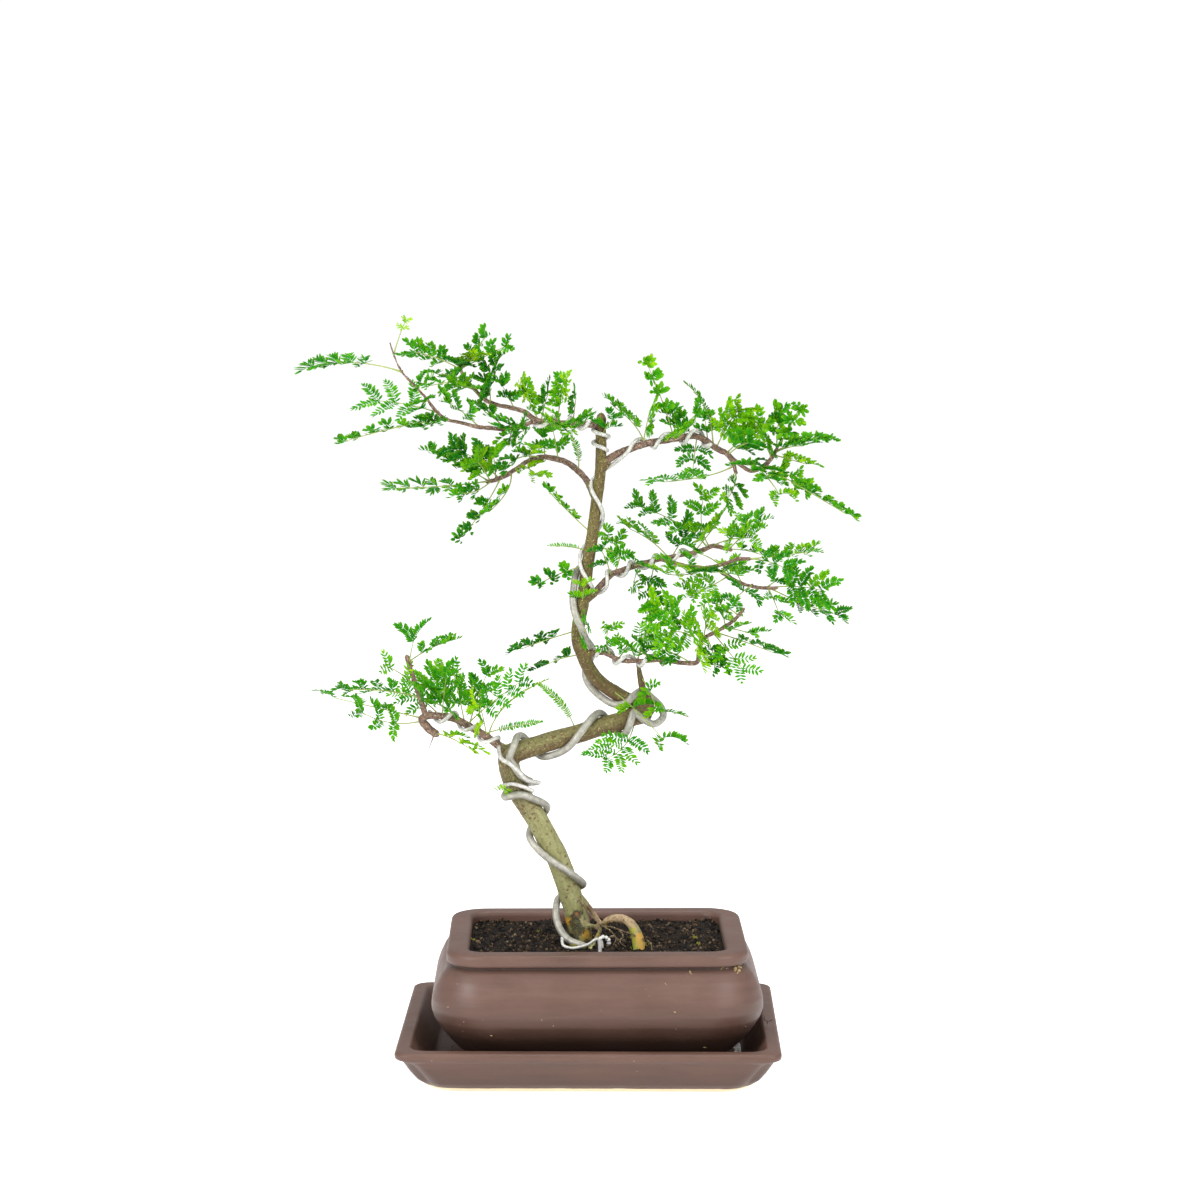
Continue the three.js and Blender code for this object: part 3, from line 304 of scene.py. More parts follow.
# Leaves by their wood: (foot across, foot down, tip across, tip down, depth of the tip from the foot,
# pairs of pinnae, pinna length, and for a bowed leaf the across and down of its bow)
LEAF_GROUPS: list[tuple[str, list[Row]]] = [
    ("lowerTwig", [
        (409, 664, 413, 643, -6, 1, 17), (409, 662, 444, 643, 6, 3, 11), (415, 688, 391, 668, -8, 2, 10),
        (419, 698, 350, 690, -16, 4, 12, 386, 688), (419, 700, 440, 676, 18, 3, 13),
    ]),
    ("lower", [
        (423, 718, 335, 698, 10, 3, 14, 378, 708), (424, 720, 363, 713, -14, 3, 12, 392, 729),
        (440, 716, 411, 693, 18, 3, 13), (442, 716, 446, 678, -14, 3, 13),
        (444, 716, 471, 690, 24, 3, 13), (464, 723, 424, 698, -26, 4, 14, 448, 707),
        (465, 724, 453, 672, 4, 3, 9), (467, 725, 519, 683, -8, 4, 12, 482, 708),
        (469, 726, 486, 676, 22, 3, 11), (487, 737, 480, 706, -20, 2, 14),
        (488, 738, 549, 679, -4, 4, 8, 494, 702), (483, 734, 541, 722, -12, 3, 11, 503, 727),
        (435, 733, 470, 749, -16, 3, 13),
    ]),
    ("middle", [
        (611, 656, 608, 630, -6, 2, 9, 604, 643), (618, 659, 640, 637, 10, 2, 11),
        (637, 661, 648, 608, 12, 4, 12, 646, 636), (657, 660, 622, 650, -20, 3, 12),
        (700, 643, 664, 634, -10, 3, 14, 683, 626), (702, 641, 659, 608, 8, 4, 14, 685, 621),
        (703, 640, 690, 634, -34, 3, 11), (704, 639, 708, 616, -24, 3, 11),
        (700, 646, 697, 656, -28, 3, 10), (690, 663, 661, 649, 8, 3, 12), (707, 637, 716, 664, -8, 3, 10),
        (714, 634, 742, 668, -16, 3, 10, 724, 646), (716, 633, 774, 653, -4, 4, 10, 742, 640),
        (722, 629, 748, 633, -10, 2, 13), (726, 627, 722, 612, 14, 2, 11),
        (739, 616, 718, 604, 16, 2, 10),
    ]),
    ("right", [
        (611, 576, 602, 552, -30, 2, 10), (614, 574, 608, 536, 8, 3, 9, 628, 548),
        (634, 567, 642, 566, -22, 2, 10), (655, 560, 648, 600, -4, 3, 10), (639, 565, 634, 582, -6, 2, 8),
        (668, 558, 630, 529, 4, 4, 13, 655, 540), (672, 557, 689, 532, 12, 3, 11),
        (710, 548, 703, 500, 4, 3, 12, 697, 528), (694, 552, 717, 524, -14, 3, 12, 704, 540),
        (708, 548, 644, 508, 8, 4, 14, 690, 524), (713, 546, 752, 538, -18, 3, 13, 728, 537),
        (729, 550, 758, 524, 6, 3, 12), (727, 549, 742, 522, 24, 2, 11), (728, 549, 762, 555, 8, 3, 12),
    ]),
    ("rightTwig", [
        (749, 559, 808, 552, -4, 4, 10, 780, 556), (749, 560, 783, 567, -14, 3, 12),
        (720, 565, 700, 554, -12, 1, 13), (707, 568, 673, 566, -12, 2, 11, 690, 563),
        (710, 568, 666, 574, -20, 3, 10, 688, 578),
    ]),
    ("rightTip", [
        (730, 577, 712, 573, -28, 2, 16), (742, 583, 733, 568, 10, 3, 10),
        (765, 588, 820, 590, -8, 4, 15, 795, 584), (766, 588, 788, 576, 12, 2, 10),
        (770, 588, 834, 614, -2, 4, 11, 800, 604), (768, 588, 778, 611, -12, 2, 11),
        (752, 586, 735, 600, -18, 2, 13), (728, 576, 690, 592, -10, 4, 10, 708, 590),
    ]),
    ("upper", [
        (645, 445, 613, 406, 6, 4, 12, 639, 424), (643, 445, 650, 410, -8, 3, 11),
        (674, 439, 648, 366, 8, 4, 8, 665, 404), (677, 438, 696, 414, -6, 2, 13),
        (680, 438, 672, 414, 14, 3, 11), (672, 439, 684, 433, -24, 3, 13), (708, 442, 705, 420, 12, 2, 8),
        (713, 446, 685, 383, 4, 4, 8, 712, 402), (716, 448, 737, 412, 0, 4, 14),
        (726, 454, 757, 424, 14, 4, 13, 744, 436), (728, 455, 748, 443, -18, 3, 13),
        (697, 437, 693, 469, 16, 3, 11), (733, 466, 664, 482, -8, 4, 14, 714, 478),
        (735, 472, 728, 498, -14, 3, 11, 737, 486),
    ]),
    ("upperTip", [
        (776, 450, 779, 413, 8, 3, 11), (777, 450, 798, 410, -6, 3, 9, 790, 428),
        (776, 452, 826, 440, 8, 4, 11, 802, 436), (775, 453, 803, 446, -20, 3, 12),
        (774, 455, 806, 464, -8, 3, 10, 792, 460), (771, 458, 763, 441, -8, 2, 13),
        (757, 469, 745, 465, -16, 2, 12), (762, 467, 768, 478, -26, 3, 14),
        (765, 465, 798, 482, 12, 3, 11), (764, 466, 846, 514, -10, 5, 14, 800, 486),
        (758, 469, 779, 494, -22, 2, 12),
    ]),
    ("left", [
        (541, 458, 507, 466, -10, 3, 12, 520, 452), (522, 465, 536, 475, -12, 2, 11),
        (545, 457, 543, 438, 10, 2, 9), (558, 460, 553, 430, -8, 2, 10),
        (578, 471, 572, 438, -12, 3, 9, 581, 452), (511, 472, 489, 512, -12, 3, 12, 514, 490),
        (501, 478, 463, 536, -4, 4, 10, 488, 505), (492, 481, 462, 493, -12, 3, 9, 476, 495),
        (491, 481, 396, 488, 4, 5, 10, 440, 488), (490, 481, 478, 462, -16, 3, 12),
        (499, 478, 458, 450, 12, 4, 13, 479, 458), (489, 481, 433, 452, 20, 4, 9, 461, 464),
        (496, 480, 494, 458, 8, 2, 9), (529, 460, 531, 450, -18, 2, 9),
    ]),
    ("top", [
        (577, 423, 583, 424, -26, 3, 12), (563, 423, 554, 428, -20, 3, 14),
        (557, 423, 563, 383, 8, 4, 8, 560, 402), (573, 423, 576, 398, -4, 3, 8),
        (538, 421, 523, 391, -4, 4, 13), (541, 421, 548, 394, 14, 3, 11), (514, 409, 503, 387, 6, 2, 10),
        (486, 401, 497, 364, 4, 3, 12, 488, 380), (490, 403, 490, 388, -16, 3, 11),
        (475, 390, 469, 388, -18, 2, 10), (460, 369, 485, 338, 6, 3, 8, 474, 352),
        (460, 369, 504, 347, -8, 3, 9, 482, 358), (461, 370, 475, 357, -18, 3, 9),
        (460, 370, 415, 352, -6, 4, 12, 440, 357), (463, 375, 455, 364, -24, 3, 11),
        (467, 382, 437, 374, -14, 2, 10), (469, 384, 430, 386, 16, 3, 11, 450, 380),
        (477, 392, 455, 386, -22, 3, 11),
    ]),
    ("topTwig", [
        (523, 426, 505, 427, -18, 3, 11), (505, 429, 485, 412, 8, 3, 13), (479, 427, 450, 404, -6, 3, 13),
        (520, 426, 525, 434, -22, 3, 12), (512, 428, 510, 442, -12, 3, 13),
        (447, 419, 425, 426, -16, 4, 12), (447, 420, 346, 441, -4, 5, 11, 400, 424),
        (438, 413, 380, 401, 6, 3, 16, 410, 403), (402, 372, 314, 366, 6, 5, 12, 360, 357),
        (394, 354, 405, 322, 4, 2, 5), (428, 400, 421, 408, -16, 2, 9), (416, 387, 426, 383, -8, 2, 8),
    ]),
    ("trunk", [
        (516, 786, 506, 790, -10, 1, 6), (575, 728, 539, 684, 2, 4, 8, 569, 704),
        (582, 655, 548, 664, -10, 2, 12), (578, 630, 521, 649, -14, 4, 11, 550, 638),
        (583, 606, 584, 588, -14, 2, 8), (580, 645, 588, 626, -14, 2, 9),
        (586, 565, 541, 583, -12, 3, 8, 561, 571), (588, 551, 550, 546, 4, 2, 17),
        (592, 534, 549, 492, -8, 4, 8, 571, 515), (592, 548, 614, 552, -12, 1, 9),
        (601, 437, 612, 420, -12, 2, 9), (612, 691, 662, 738, -44, 2, 18, 628, 700),
    ]),
    ("spur", [
        (640, 676, 655, 706, -14, 2, 8, 652, 690),
    ]),
    ("trunk", [
        (650, 712, 688, 717, -36, 2, 9, 668, 708), (636, 717, 608, 758, -24, 4, 15, 632, 748),
    ]),
]

# Leaves by their tip that are lighter (towards 1) or darker (towards 0) than the rest
TINTS: dict[tuple[int, int], float] = {
    (549, 679): 0.9, (480, 706): 0.95, (470, 749): 0.9, (664, 634): 0.66, (659, 608): 0.56,
    (690, 634): 0.72, (708, 616): 0.8, (697, 656): 0.75, (666, 574): 0.85, (717, 524): 0.75,
    (752, 538): 0.7, (684, 433): 0.65, (737, 412): 0.7, (806, 464): 0.85, (779, 494): 0.8, (536, 475): 0.85,
    (478, 462): 0.75, (531, 450): 0.75, (554, 428): 0.7, (523, 391): 0.75, (475, 357): 0.95,
    (506, 790): 1.0, (584, 588): 0.8, (455, 364): 0.15, (497, 364): 0.2, (490, 388): 0.2, (458, 450): 0.2,
    (762, 555): 0.2, (602, 552): 0.2, (735, 600): 0.25, (803, 446): 0.2, (685, 383): 0.15, (712, 573): 0.1,
    (463, 536): 0.2, (774, 653): 0.3, (834, 614): 0.3, (689, 532): 0.25, (485, 412): 0.25, (425, 426): 0.3,
    (405, 322): 0.97, (521, 649): 0.15, (548, 664): 0.1,
}
MIDDLE_TINT = 0.5


class Habit(Enum):
    """How a leaf holds its leaflets."""

    RUFFLED = "broad leaflets on bowed pinnae"
    KIDNEY = "broad leaflets crowded on short curled pinnae"
    LOOSE = "leaflets well apart"
    COMB = "straight pinnae with narrow leaflets square to them"
    SPRAY = "long needle-like leaflets that lean to the tip"
    SPROUT = "a young leaf, its short pinnae near the stalk's tip"
    FRINGE = "leaflets along the stalk itself"


@dataclass(frozen=True)
class Style:
    """Sizes of a leaf's leaflets.

    Args:
        pitch: Distance from one leaflet to the next, in millimetres.
        long: Length of a leaflet, in millimetres.
        wide: Least and most width, as shares of the length.
        lean: Degrees from the pinna at its foot, at three quarters and at its tip.
        scatter: Spread of the lean, in degrees.
        fold: Least and most rise of both rows out of the pinna's plane.
        curl: Most sideways bow of a pinna, as a share of its length.
        bow: Least and most bow of a pinna out of its plane, as shares of its length.
        reach: Pinna length as a share of the leaf's own.
    """

    pitch: float
    long: float
    wide: Row
    lean: Row
    scatter: float
    fold: Row
    curl: float
    bow: Row
    reach: float


STYLES = {
    Habit.RUFFLED: Style(1.1, 4.5, (0.45, 0.6), (72, 46, 2), 13, (0.1, 0.9), 0.45, (0.05, 0.3), 0.84),
    Habit.KIDNEY: Style(1.0, 4.9, (0.5, 0.66), (80, 44, -10), 12, (0.2, 0.9), 0.7, (0.1, 0.4), 0.54),
    Habit.LOOSE: Style(1.08, 4.4, (0.36, 0.48), (72, 50, 10), 10, (0.1, 0.7), 0.32, (0.05, 0.25), 0.96),
    Habit.COMB: Style(1.45, 4.6, (0.34, 0.42), (76, 58, 22), 6, (0.0, 0.4), 0.2, (0.05, 0.2), 1.0),
    Habit.SPRAY: Style(1.0, 7.4, (0.2, 0.27), (42, 32, 8), 9, (-0.2, 0.4), 0.15, (0.0, 0.15), 0.72),
    Habit.SPROUT: Style(1.1, 2.6, (0.32, 0.44), (60, 40, 10), 14, (0.0, 0.6), 0.3, (0.05, 0.3), 0.62),
    Habit.FRINGE: Style(1.1, 3.1, (0.3, 0.4), (74, 56, 16), 7, (0.2, 0.7), 0.2, (0.05, 0.2), 1.0),
}

# Woods whose leaves are ruffled; the leaves of the others are loose
RUFFLED_WOODS = {"top", "topTwig", "left", "upper", "upperTip"}

# Leaves by their tip that are held otherwise than the rest of their wood
HELD_OTHERWISE: dict[Habit, tuple[tuple[int, int], ...]] = {
    Habit.RUFFLED: (
        (470, 749), (659, 608), (690, 634), (716, 664), (548, 664), (521, 649), (662, 738),
    ),
    Habit.KIDNEY: (
        (648, 366), (779, 413), (798, 410), (826, 440), (846, 514), (489, 512), (463, 536), (346, 441),
        (541, 583), (549, 492),
    ),
    Habit.LOOSE: ((693, 469),),
    Habit.COMB: (
        (391, 668), (411, 693), (453, 672), (519, 683), (640, 637), (664, 634), (742, 668), (664, 482),
        (380, 401), (608, 758),
    ),
    Habit.SPRAY: ((396, 488), (314, 366)),
    Habit.SPROUT: ((405, 322),),
    Habit.FRINGE: ((549, 679), (541, 722), (685, 383), (572, 438), (539, 684), (550, 546), (688, 717)),
}
HABITS_BY_TIP = {tip: habit for habit, tips in HELD_OTHERWISE.items() for tip in tips}


# Curves and points
def unit(vector: Array) -> Array:
    """Gives a vector, or each row of vectors, at length 1."""
    return vector / np.linalg.norm(vector, axis=-1, keepdims=True)


def square_to(vector: Array, axis: Array) -> Array:
    """Gives the unit part of a vector that is square to a unit axis."""
    return unit(vector - np.sum(vector * axis, axis=-1, keepdims=True) * axis)


def seen_line(rows: Iterable[Row]) -> Array:
    """Gives the places of rows of across, down and depth on the front sheet."""
    return np.array([EYE.seen(*row[:3]) for row in rows])


def bow_at(t: float | Array, start: Array, bow: Array, end: Array) -> Array:
    """Gives points at shares t of the curve from start to end that bends towards bow."""
    return (1 - t) ** 2 * start + 2 * t * (1 - t) * bow + t * t * end


def smooth_through(points: Array, fine: int = 14) -> Array:
    """Runs a centripetal spline through points.

    Args:
        points: The points, one row each.
        fine: Samples for each span.

    Returns:
        The samples, one row each, from the first point to the last.
    """
    ends = np.vstack([2 * points[0] - points[1], points, 2 * points[-1] - points[-2]])
    rows = []
    for a, b, c, d in zip(ends, ends[1:], ends[2:], ends[3:]):
        t1 = np.linalg.norm(b - a) ** 0.5
        t2 = t1 + np.linalg.norm(c - b) ** 0.5
        t3 = t2 + np.linalg.norm(d - c) ** 0.5
        t = np.linspace(t1, t2, fine, endpoint=False)[:, None]
        ab = ((t1 - t) * a + t * b) / t1
        bc = ((t2 - t) * b + (t - t1) * c) / (t2 - t1)
        cd = ((t3 - t) * c + (t - t2) * d) / (t3 - t2)
        abc = ((t2 - t) * ab + t * bc) / t2
        bcd = ((t3 - t) * bc + (t - t1) * cd) / (t3 - t1)
        rows.append(((t2 - t) * abc + (t - t1) * bcd) / (t2 - t1))
    return np.vstack([*rows, points[-1:]])


class Path:
    """A smooth curve in millimetres that is read by the share of its length."""

    def __init__(self, spots: Array, sizes: Optional[Sequence[float]] = None) -> None:
        """Runs the curve through spots.

        Args:
            spots: Points in millimetres, one row each.
            sizes: Diameter at each point, in millimetres.
        """
        self.spots = smooth_through(spots)
        steps = np.linalg.norm(np.diff(self.spots, axis=0), axis=1)
        self.length = float(steps.sum())
        self.shares = np.concatenate([[0], np.cumsum(steps)]) / self.length
        chords = np.concatenate([[0], np.cumsum(np.linalg.norm(np.diff(spots, axis=0), axis=1))])
        self.chords = chords / chords[-1]
        self.sizes = np.array(sizes if sizes is not None else np.ones(len(spots)))

    @classmethod
    def seen(cls, rows: Sequence[Row]) -> "Path":
        """Runs the curve through rows of across, down, depth and diameter on the front sheet."""
        return cls(seen_line(rows), [row[3] for row in rows])

    def at(self, share: Array) -> Array:
        """Gives the points at shares of the length."""
        return np.stack([np.interp(share, self.shares, column) for column in self.spots.T], axis=-1)

    def along(self, share: Array) -> Array:
        """Gives the unit direction at shares of the length."""
        near = 0.5 / self.length
        return unit(self.at(np.clip(share + near, 0, 1)) - self.at(np.clip(share - near, 0, 1)))

    def radius(self, share: Array) -> Array:
        """Gives the radius at shares of the length, in millimetres."""
        return np.interp(share, self.chords, self.sizes) / 2

    def share_at(self, across: float, down: float) -> float:
        """Gives the share of the length that is seen nearest a sheet point."""
        shares = np.linspace(0, 1, 401)
        miss = EYE.sheet(self.at(shares)) - np.array([across, down])
        return float(shares[np.argmin(np.hypot(*miss.T))])


def carried_frames(points: Array) -> tuple[Array, Array, Array]:
    """Gives directions along a line of points and square to it, carried without twisting.

    Args:
        points: Points in millimetres, one row each.

    Returns:
        The unit directions along, beside and across, one row for each point.
    """
    padded = np.vstack([2 * points[0] - points[1], points, 2 * points[-1] - points[-2]])
    along = unit(padded[2:] - padded[:-2])
    start = np.array([0.0, -1.0, 0.0]) if abs(along[0][1]) < 0.9 else np.array([1.0, 0.0, 0.0])
    beside = [square_to(start, along[0])]
    for direction in along[1:]:
        beside.append(square_to(beside[-1], direction))
    beside = np.array(beside)
    return along, beside, np.cross(along, beside)


def band_faces(rings: int, sides: int) -> list[tuple[int, ...]]:
    """Gives the faces that join each ring of points to the next."""
    faces = []
    for i in range(rings - 1):
        for k in range(sides):
            n = (k + 1) % sides
            faces.append((i * sides + k, i * sides + n, (i + 1) * sides + n, (i + 1) * sides + k))
    return faces


class Shape:
    """Vertices, faces and values by point that one mesh is made of, in millimetres."""

    # Rise and width of a bar's domed end, in radii, and the broad and fine size of the bumps on it
    dome = (0.62, 0.6)
    broad = 3.1
    fine = 1.3

    def __init__(self) -> None:
        """Starts an empty shape."""
        self.points: list[Array] = []
        self.faces: list[list[int]] = []
        self.slots: list[int] = []
        self.values: dict[str, list[Array]] = {}
        self.count = 0

    def add(self, points: Array, faces: Iterable[Sequence[int]], slot: int = 0, **values: Array) -> None:
        """Adds vertices and faces.

        Args:
            points: Vertices, one row each.
            faces: Vertex numbers of each face, counted from the first of these vertices.
            slot: Material slot of the faces.
            values: Values by point, one for each vertex, under their attribute's name.
        """
        base = self.count
        moved = [[base + corner for corner in face] for face in faces]
        self.points.append(points)
        self.faces.extend(moved)
        self.slots.extend([slot] * len(moved))
        for name, numbers in values.items():
            self.values.setdefault(name, []).append(np.broadcast_to(numbers, (len(points),)))
        self.count += len(points)

    def tube(self, points: Array, radii: Array, sides: int, slot: int = 0, rough: float = 0.0,
             seed: float = 0.0) -> None:
        """Adds a closed round bar with domed ends.

        Args:
            points: Middle line, one row each.
            radii: Radius at each point.
            sides: Number of sides.
            slot: Material slot.
            rough: Height of the bumps on its surface.
            seed: Place in the noise that the bumps are read from.
        """
        along, beside, across = carried_frames(points)
        rise, pull = self.dome
        rows = [(points[0] - along[0] * radii[0] * rise, radii[0] * pull, 0),
                *zip(points, radii, range(len(points))),
                (points[-1] + along[-1] * radii[-1] * rise, radii[-1] * pull, len(points) - 1)]
        turn = np.arange(sides) * 2 * math.pi / sides
        rings = []
        for spot, radius, i in rows:
            ring = spot + radius * (np.cos(turn)[:, None] * beside[i] + np.sin(turn)[:, None] * across[i])
            if rough:
                bump = [noise.noise(Vector(corner / self.broad) + Vector((seed, 0, 0)))
                        + 0.6 * noise.noise(Vector(corner / self.fine) + Vector((0, seed, 0)))
                        for corner in ring]
                ring = ring + unit(ring - spot) * (rough * np.array(bump))[:, None]
            rings.append(ring)
        vertices = np.vstack([*rings, points[0] - along[0] * radii[0], points[-1] + along[-1] * radii[-1]])
        total = len(rows) * sides
        faces = band_faces(len(rows), sides)
        for k in range(sides):
            n = (k + 1) % sides
            faces.append((total, n, k))
            faces.append((total + 1, total - sides + k, total - sides + n))
        self.add(vertices, faces, slot)

    def stamp(self, template: Template, spots: Array, axes: tuple[Array, Array, Array],
              by_corner: Optional[dict[str, Array]] = None, **values: Array) -> None:
        """Adds a copy of a template at each spot.

        Args:
            template: Vertices and faces of the template.
            spots: Place of each copy, one row each.
            axes: The template's X, Y and Z for each copy, scaled, one row for each copy.
            by_corner: One value for each corner of the template, the same on every copy.
            values: One value for each copy, under its attribute's name.
        """
        corners, faces = template
        forms = sum(corners[None, :, k, None] * axes[k][:, None, :] for k in range(3)) + spots[:, None, :]
        size = len(corners)
        table = np.arange(len(spots))[:, None] * size
        all_faces: list[Sequence[int]] = []
        for width in sorted({len(face) for face in faces}):
            group = np.array([face for face in faces if len(face) == width])
            all_faces.extend((table[:, :, None] + group[None]).reshape(-1, width).tolist())
        spread = {name: np.repeat(numbers, size) for name, numbers in values.items()}
        spread.update({name: np.tile(numbers, len(spots)) for name, numbers in (by_corner or {}).items()})
        self.add(forms.reshape(-1, 3), all_faces, **spread)

    def build(self, name: str, finishes: Sequence[Material], smooth: bool = True) -> Piece:
        """Makes the mesh object, in metres.

        Args:
            name: Name of the piece.
            finishes: Materials of its slots.
            smooth: Whether its faces are shaded smooth.

        Returns:
            The object.
        """
        mesh = bpy.data.meshes.new(name)
        mesh.from_pydata((np.vstack(self.points) * MM).tolist(), [], self.faces)
        mesh.polygons.foreach_set("material_index", self.slots)
        mesh.polygons.foreach_set("use_smooth", [smooth] * len(mesh.polygons))
        for key, parts in self.values.items():
            note(mesh, key, np.concatenate(parts))
        for finish in finishes:
            mesh.materials.append(finish)
        mesh.update()
        piece = bpy.data.objects.new(name, mesh)
        bpy.context.scene.collection.objects.link(piece)
        return piece


# Work on one piece at a time
def note(mesh: bpy.types.Mesh, name: str, numbers: Array) -> None:
    """Writes one number, or one vector, for each point of a mesh."""
    flat = numbers.ndim == 1
    layer = mesh.attributes.new(name, "FLOAT" if flat else "FLOAT_VECTOR", "POINT")
    layer.data.foreach_set("value" if flat else "vector", numbers.astype(np.float32).ravel())


def only(piece: Piece) -> None:
    """Leaves one piece selected and active."""
    bpy.ops.object.select_all(action="DESELECT")
    piece.select_set(True)
    bpy.context.view_layer.objects.active = piece


def primitive(add: Callable[..., object], **sizes: object) -> Piece:
    """Adds a primitive with nothing else selected."""
    bpy.ops.object.select_all(action="DESELECT")
    add(**sizes)
    return bpy.context.active_object


def modify(piece: Piece, kind: str, **settings: object) -> None:
    """Adds a modifier to a piece and applies it."""
    only(piece)
    bpy.ops.object.modifier_add(type=kind)
    modifier = piece.modifiers[-1]
    for key, value in settings.items():
        setattr(modifier, key, value)
    bpy.ops.object.modifier_apply(modifier=modifier.name)


def grain_template() -> Template:
    """Takes a round grain's vertices and faces and removes its object."""
    grain = primitive(bpy.ops.mesh.primitive_ico_sphere_add, subdivisions=1, radius=0.5)
    corners = np.array([vertex.co[:] for vertex in grain.data.vertices])
    faces = [tuple(face.vertices) for face in grain.data.polygons]
    bpy.data.objects.remove(grain, do_unlink=True)
    return corners, faces


def shift_into_saucer(piece: Piece) -> None:
    """Moves a mesh made about the pot's middle to where the pot stands, off the saucer's middle."""
    piece.data.transform(Matrix.Translation((POT_SHIFT * MM, 0, 0)) @ Matrix.Rotation(POT_TURN, 4, "Z"))


def settle(piece: Piece, slot: Slot, *nodes: str) -> Piece:
    """Ties a finished piece to the frame.

    Args:
        piece: The piece.
        slot: Its material slot in the record; not used.
        nodes: Frame nodes that it stands for.

    Returns:
        The piece.
    """
    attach(piece, BODY)
    if nodes:
        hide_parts(*nodes)
    log.info("%s: %d faces", piece.name, len(piece.data.polygons))
    return piece


# Finishes, with pattern scales in cycles to the metre and relief in metres
class Recipe:
    """A material's node tree, built a node at a time."""

    def __init__(self, name: str) -> None:
        """Starts an empty tree under a name."""
        self.material = bpy.data.materials.new(name)
        self.material.use_nodes = True
        self.tree = self.material.node_tree
        self.tree.nodes.clear()
        self.output = self.tree.nodes.new("ShaderNodeOutputMaterial")

    def node(self, kind: str, sets: Optional[dict[str, object]] = None, **links: object) -> bpy.types.Node:
        """Adds a node.

        Args:
            kind: Node type without its ShaderNode prefix.
            sets: Settings of the node.
            links: Values or output sockets by input name, with _ for a space, or by i and the input's number.

        Returns:
            The node.
        """
        made = self.tree.nodes.new("ShaderNode" + kind)
        for key, value in (sets or {}).items():
            setattr(made, key, value)
        for key, value in links.items():
            numbered = key[0] == "i" and key[1:].isdigit()
            socket = made.inputs[int(key[1:])] if numbered else made.inputs[key.replace("_", " ")]
            if isinstance(value, Socket):
                self.tree.links.new(value, socket)
            else:
                opaque = socket.type == "RGBA" and len(value) == 3
                socket.default_value = (*value, 1.0) if opaque else value
        return made

    def stretched(self, vector: Socket, scale: Row) -> Socket:
        """Stretches coordinates by scale."""
        return self.node("Mapping", Vector=vector, Scale=scale).outputs["Vector"]

    def place(self, scale: Row = (1, 1, 1)) -> Socket:
        """Gives the object's own coordinates in metres, stretched by scale."""
        return self.stretched(self.node("TexCoord").outputs["Object"], scale)

    def upward(self, vector: Socket) -> Socket:
        """Gives the Z part of a vector."""
        return self.node("SeparateXYZ", Vector=vector).outputs["Z"]

    def value(self, name: str, vector: bool = False) -> Socket:
        """Gives a value by point that the mesh carries."""
        return self.node("Attribute", {"attribute_name": name}).outputs["Vector" if vector else "Fac"]

    def noise(self, vector: Socket, scale: float, detail: float = 4, rough: float = 0.55) -> Socket:
        """Gives a noise from 0 to 1."""
        made = self.node("TexNoise", Vector=vector, Scale=scale, Detail=detail, Roughness=rough)
        return made.outputs["Fac"]

    def cells(self, vector: Socket, scale: float) -> Socket:
        """Gives the distance to the nearest of a set of scattered points."""
        return self.node("TexVoronoi", Vector=vector, Scale=scale).outputs["Distance"]

    def span(self, value: Socket, low: float, high: float, start: float = 0.0, end: float = 1.0) -> Socket:
        """Spreads a value's range from low to high over start to end."""
        made = self.node("MapRange", Value=value, From_Min=low, From_Max=high, To_Min=start, To_Max=end)
        return made.outputs["Result"]

    def math(self, work: str, first: object, second: object, clamped: bool = True) -> Socket:
        """Works one sum on two values."""
        return self.node("Math", {"operation": work, "use_clamp": clamped}, i0=first, i1=second).outputs[0]

    def plus(self, first: object, second: object) -> Socket:
        """Adds two values and keeps the sum from 0 to 1."""
        return self.math("ADD", first, second)

    def times(self, first: object, second: object) -> Socket:
        """Multiplies two values and keeps the product from 0 to 1."""
        return self.math("MULTIPLY", first, second)

    def ramp(self, value: Socket, *stops: tuple[float, Row]) -> Socket:
        """Turns a value into a colour by stops of place and colour."""
        made = self.node("ValToRGB", Fac=value)
        points = made.color_ramp.elements
        while len(points) < len(stops):
            points.new(1.0)
        for point, (at, colour) in zip(points, stops):
            point.position = at
            point.color = (*colour, 1)
        return made.outputs["Color"]

    def blend(self, share: object, first: object, second: object) -> Socket:
        """Blends two colours."""
        return self.node("Mix", {"data_type": "RGBA"}, i0=share, i6=first, i7=second).outputs[2]

    def bump(self, height: Socket, relief: float, strength: float, under: Optional[Socket] = None) -> Socket:
        """Turns a height into a normal, on top of another."""
        made = self.node("Bump", Height=height, Distance=relief, Strength=strength)
        if under is not None:
            self.tree.links.new(under, made.inputs["Normal"])
        return made.outputs["Normal"]

    def finish(self, shader: Socket) -> Material:
        """Sends the shader to the output and gives the material."""
        self.tree.links.new(shader, self.output.inputs["Surface"])
        return self.material

    def surface(self, colour: object, rough: object, **links: object) -> Material:
        """Ends the tree in one surface shader and gives the material."""
        shader = self.node("BsdfPrincipled", Base_Color=colour, Roughness=rough, **links)
        return self.finish(shader.outputs[0])


def linear(red: int, green: int, blue: int) -> Row:
    """Turns a display colour of 0 to 255 into light values."""
    return tuple(((c / 255 + 0.055) / 1.055) ** 2.4 if c > 10 else c / 255 / 12.92
                 for c in (red, green, blue))


def shaded(colour: Row, share: float) -> Row:
    """Darkens light values to a share of themselves."""
    return tuple(share * c for c in colour)


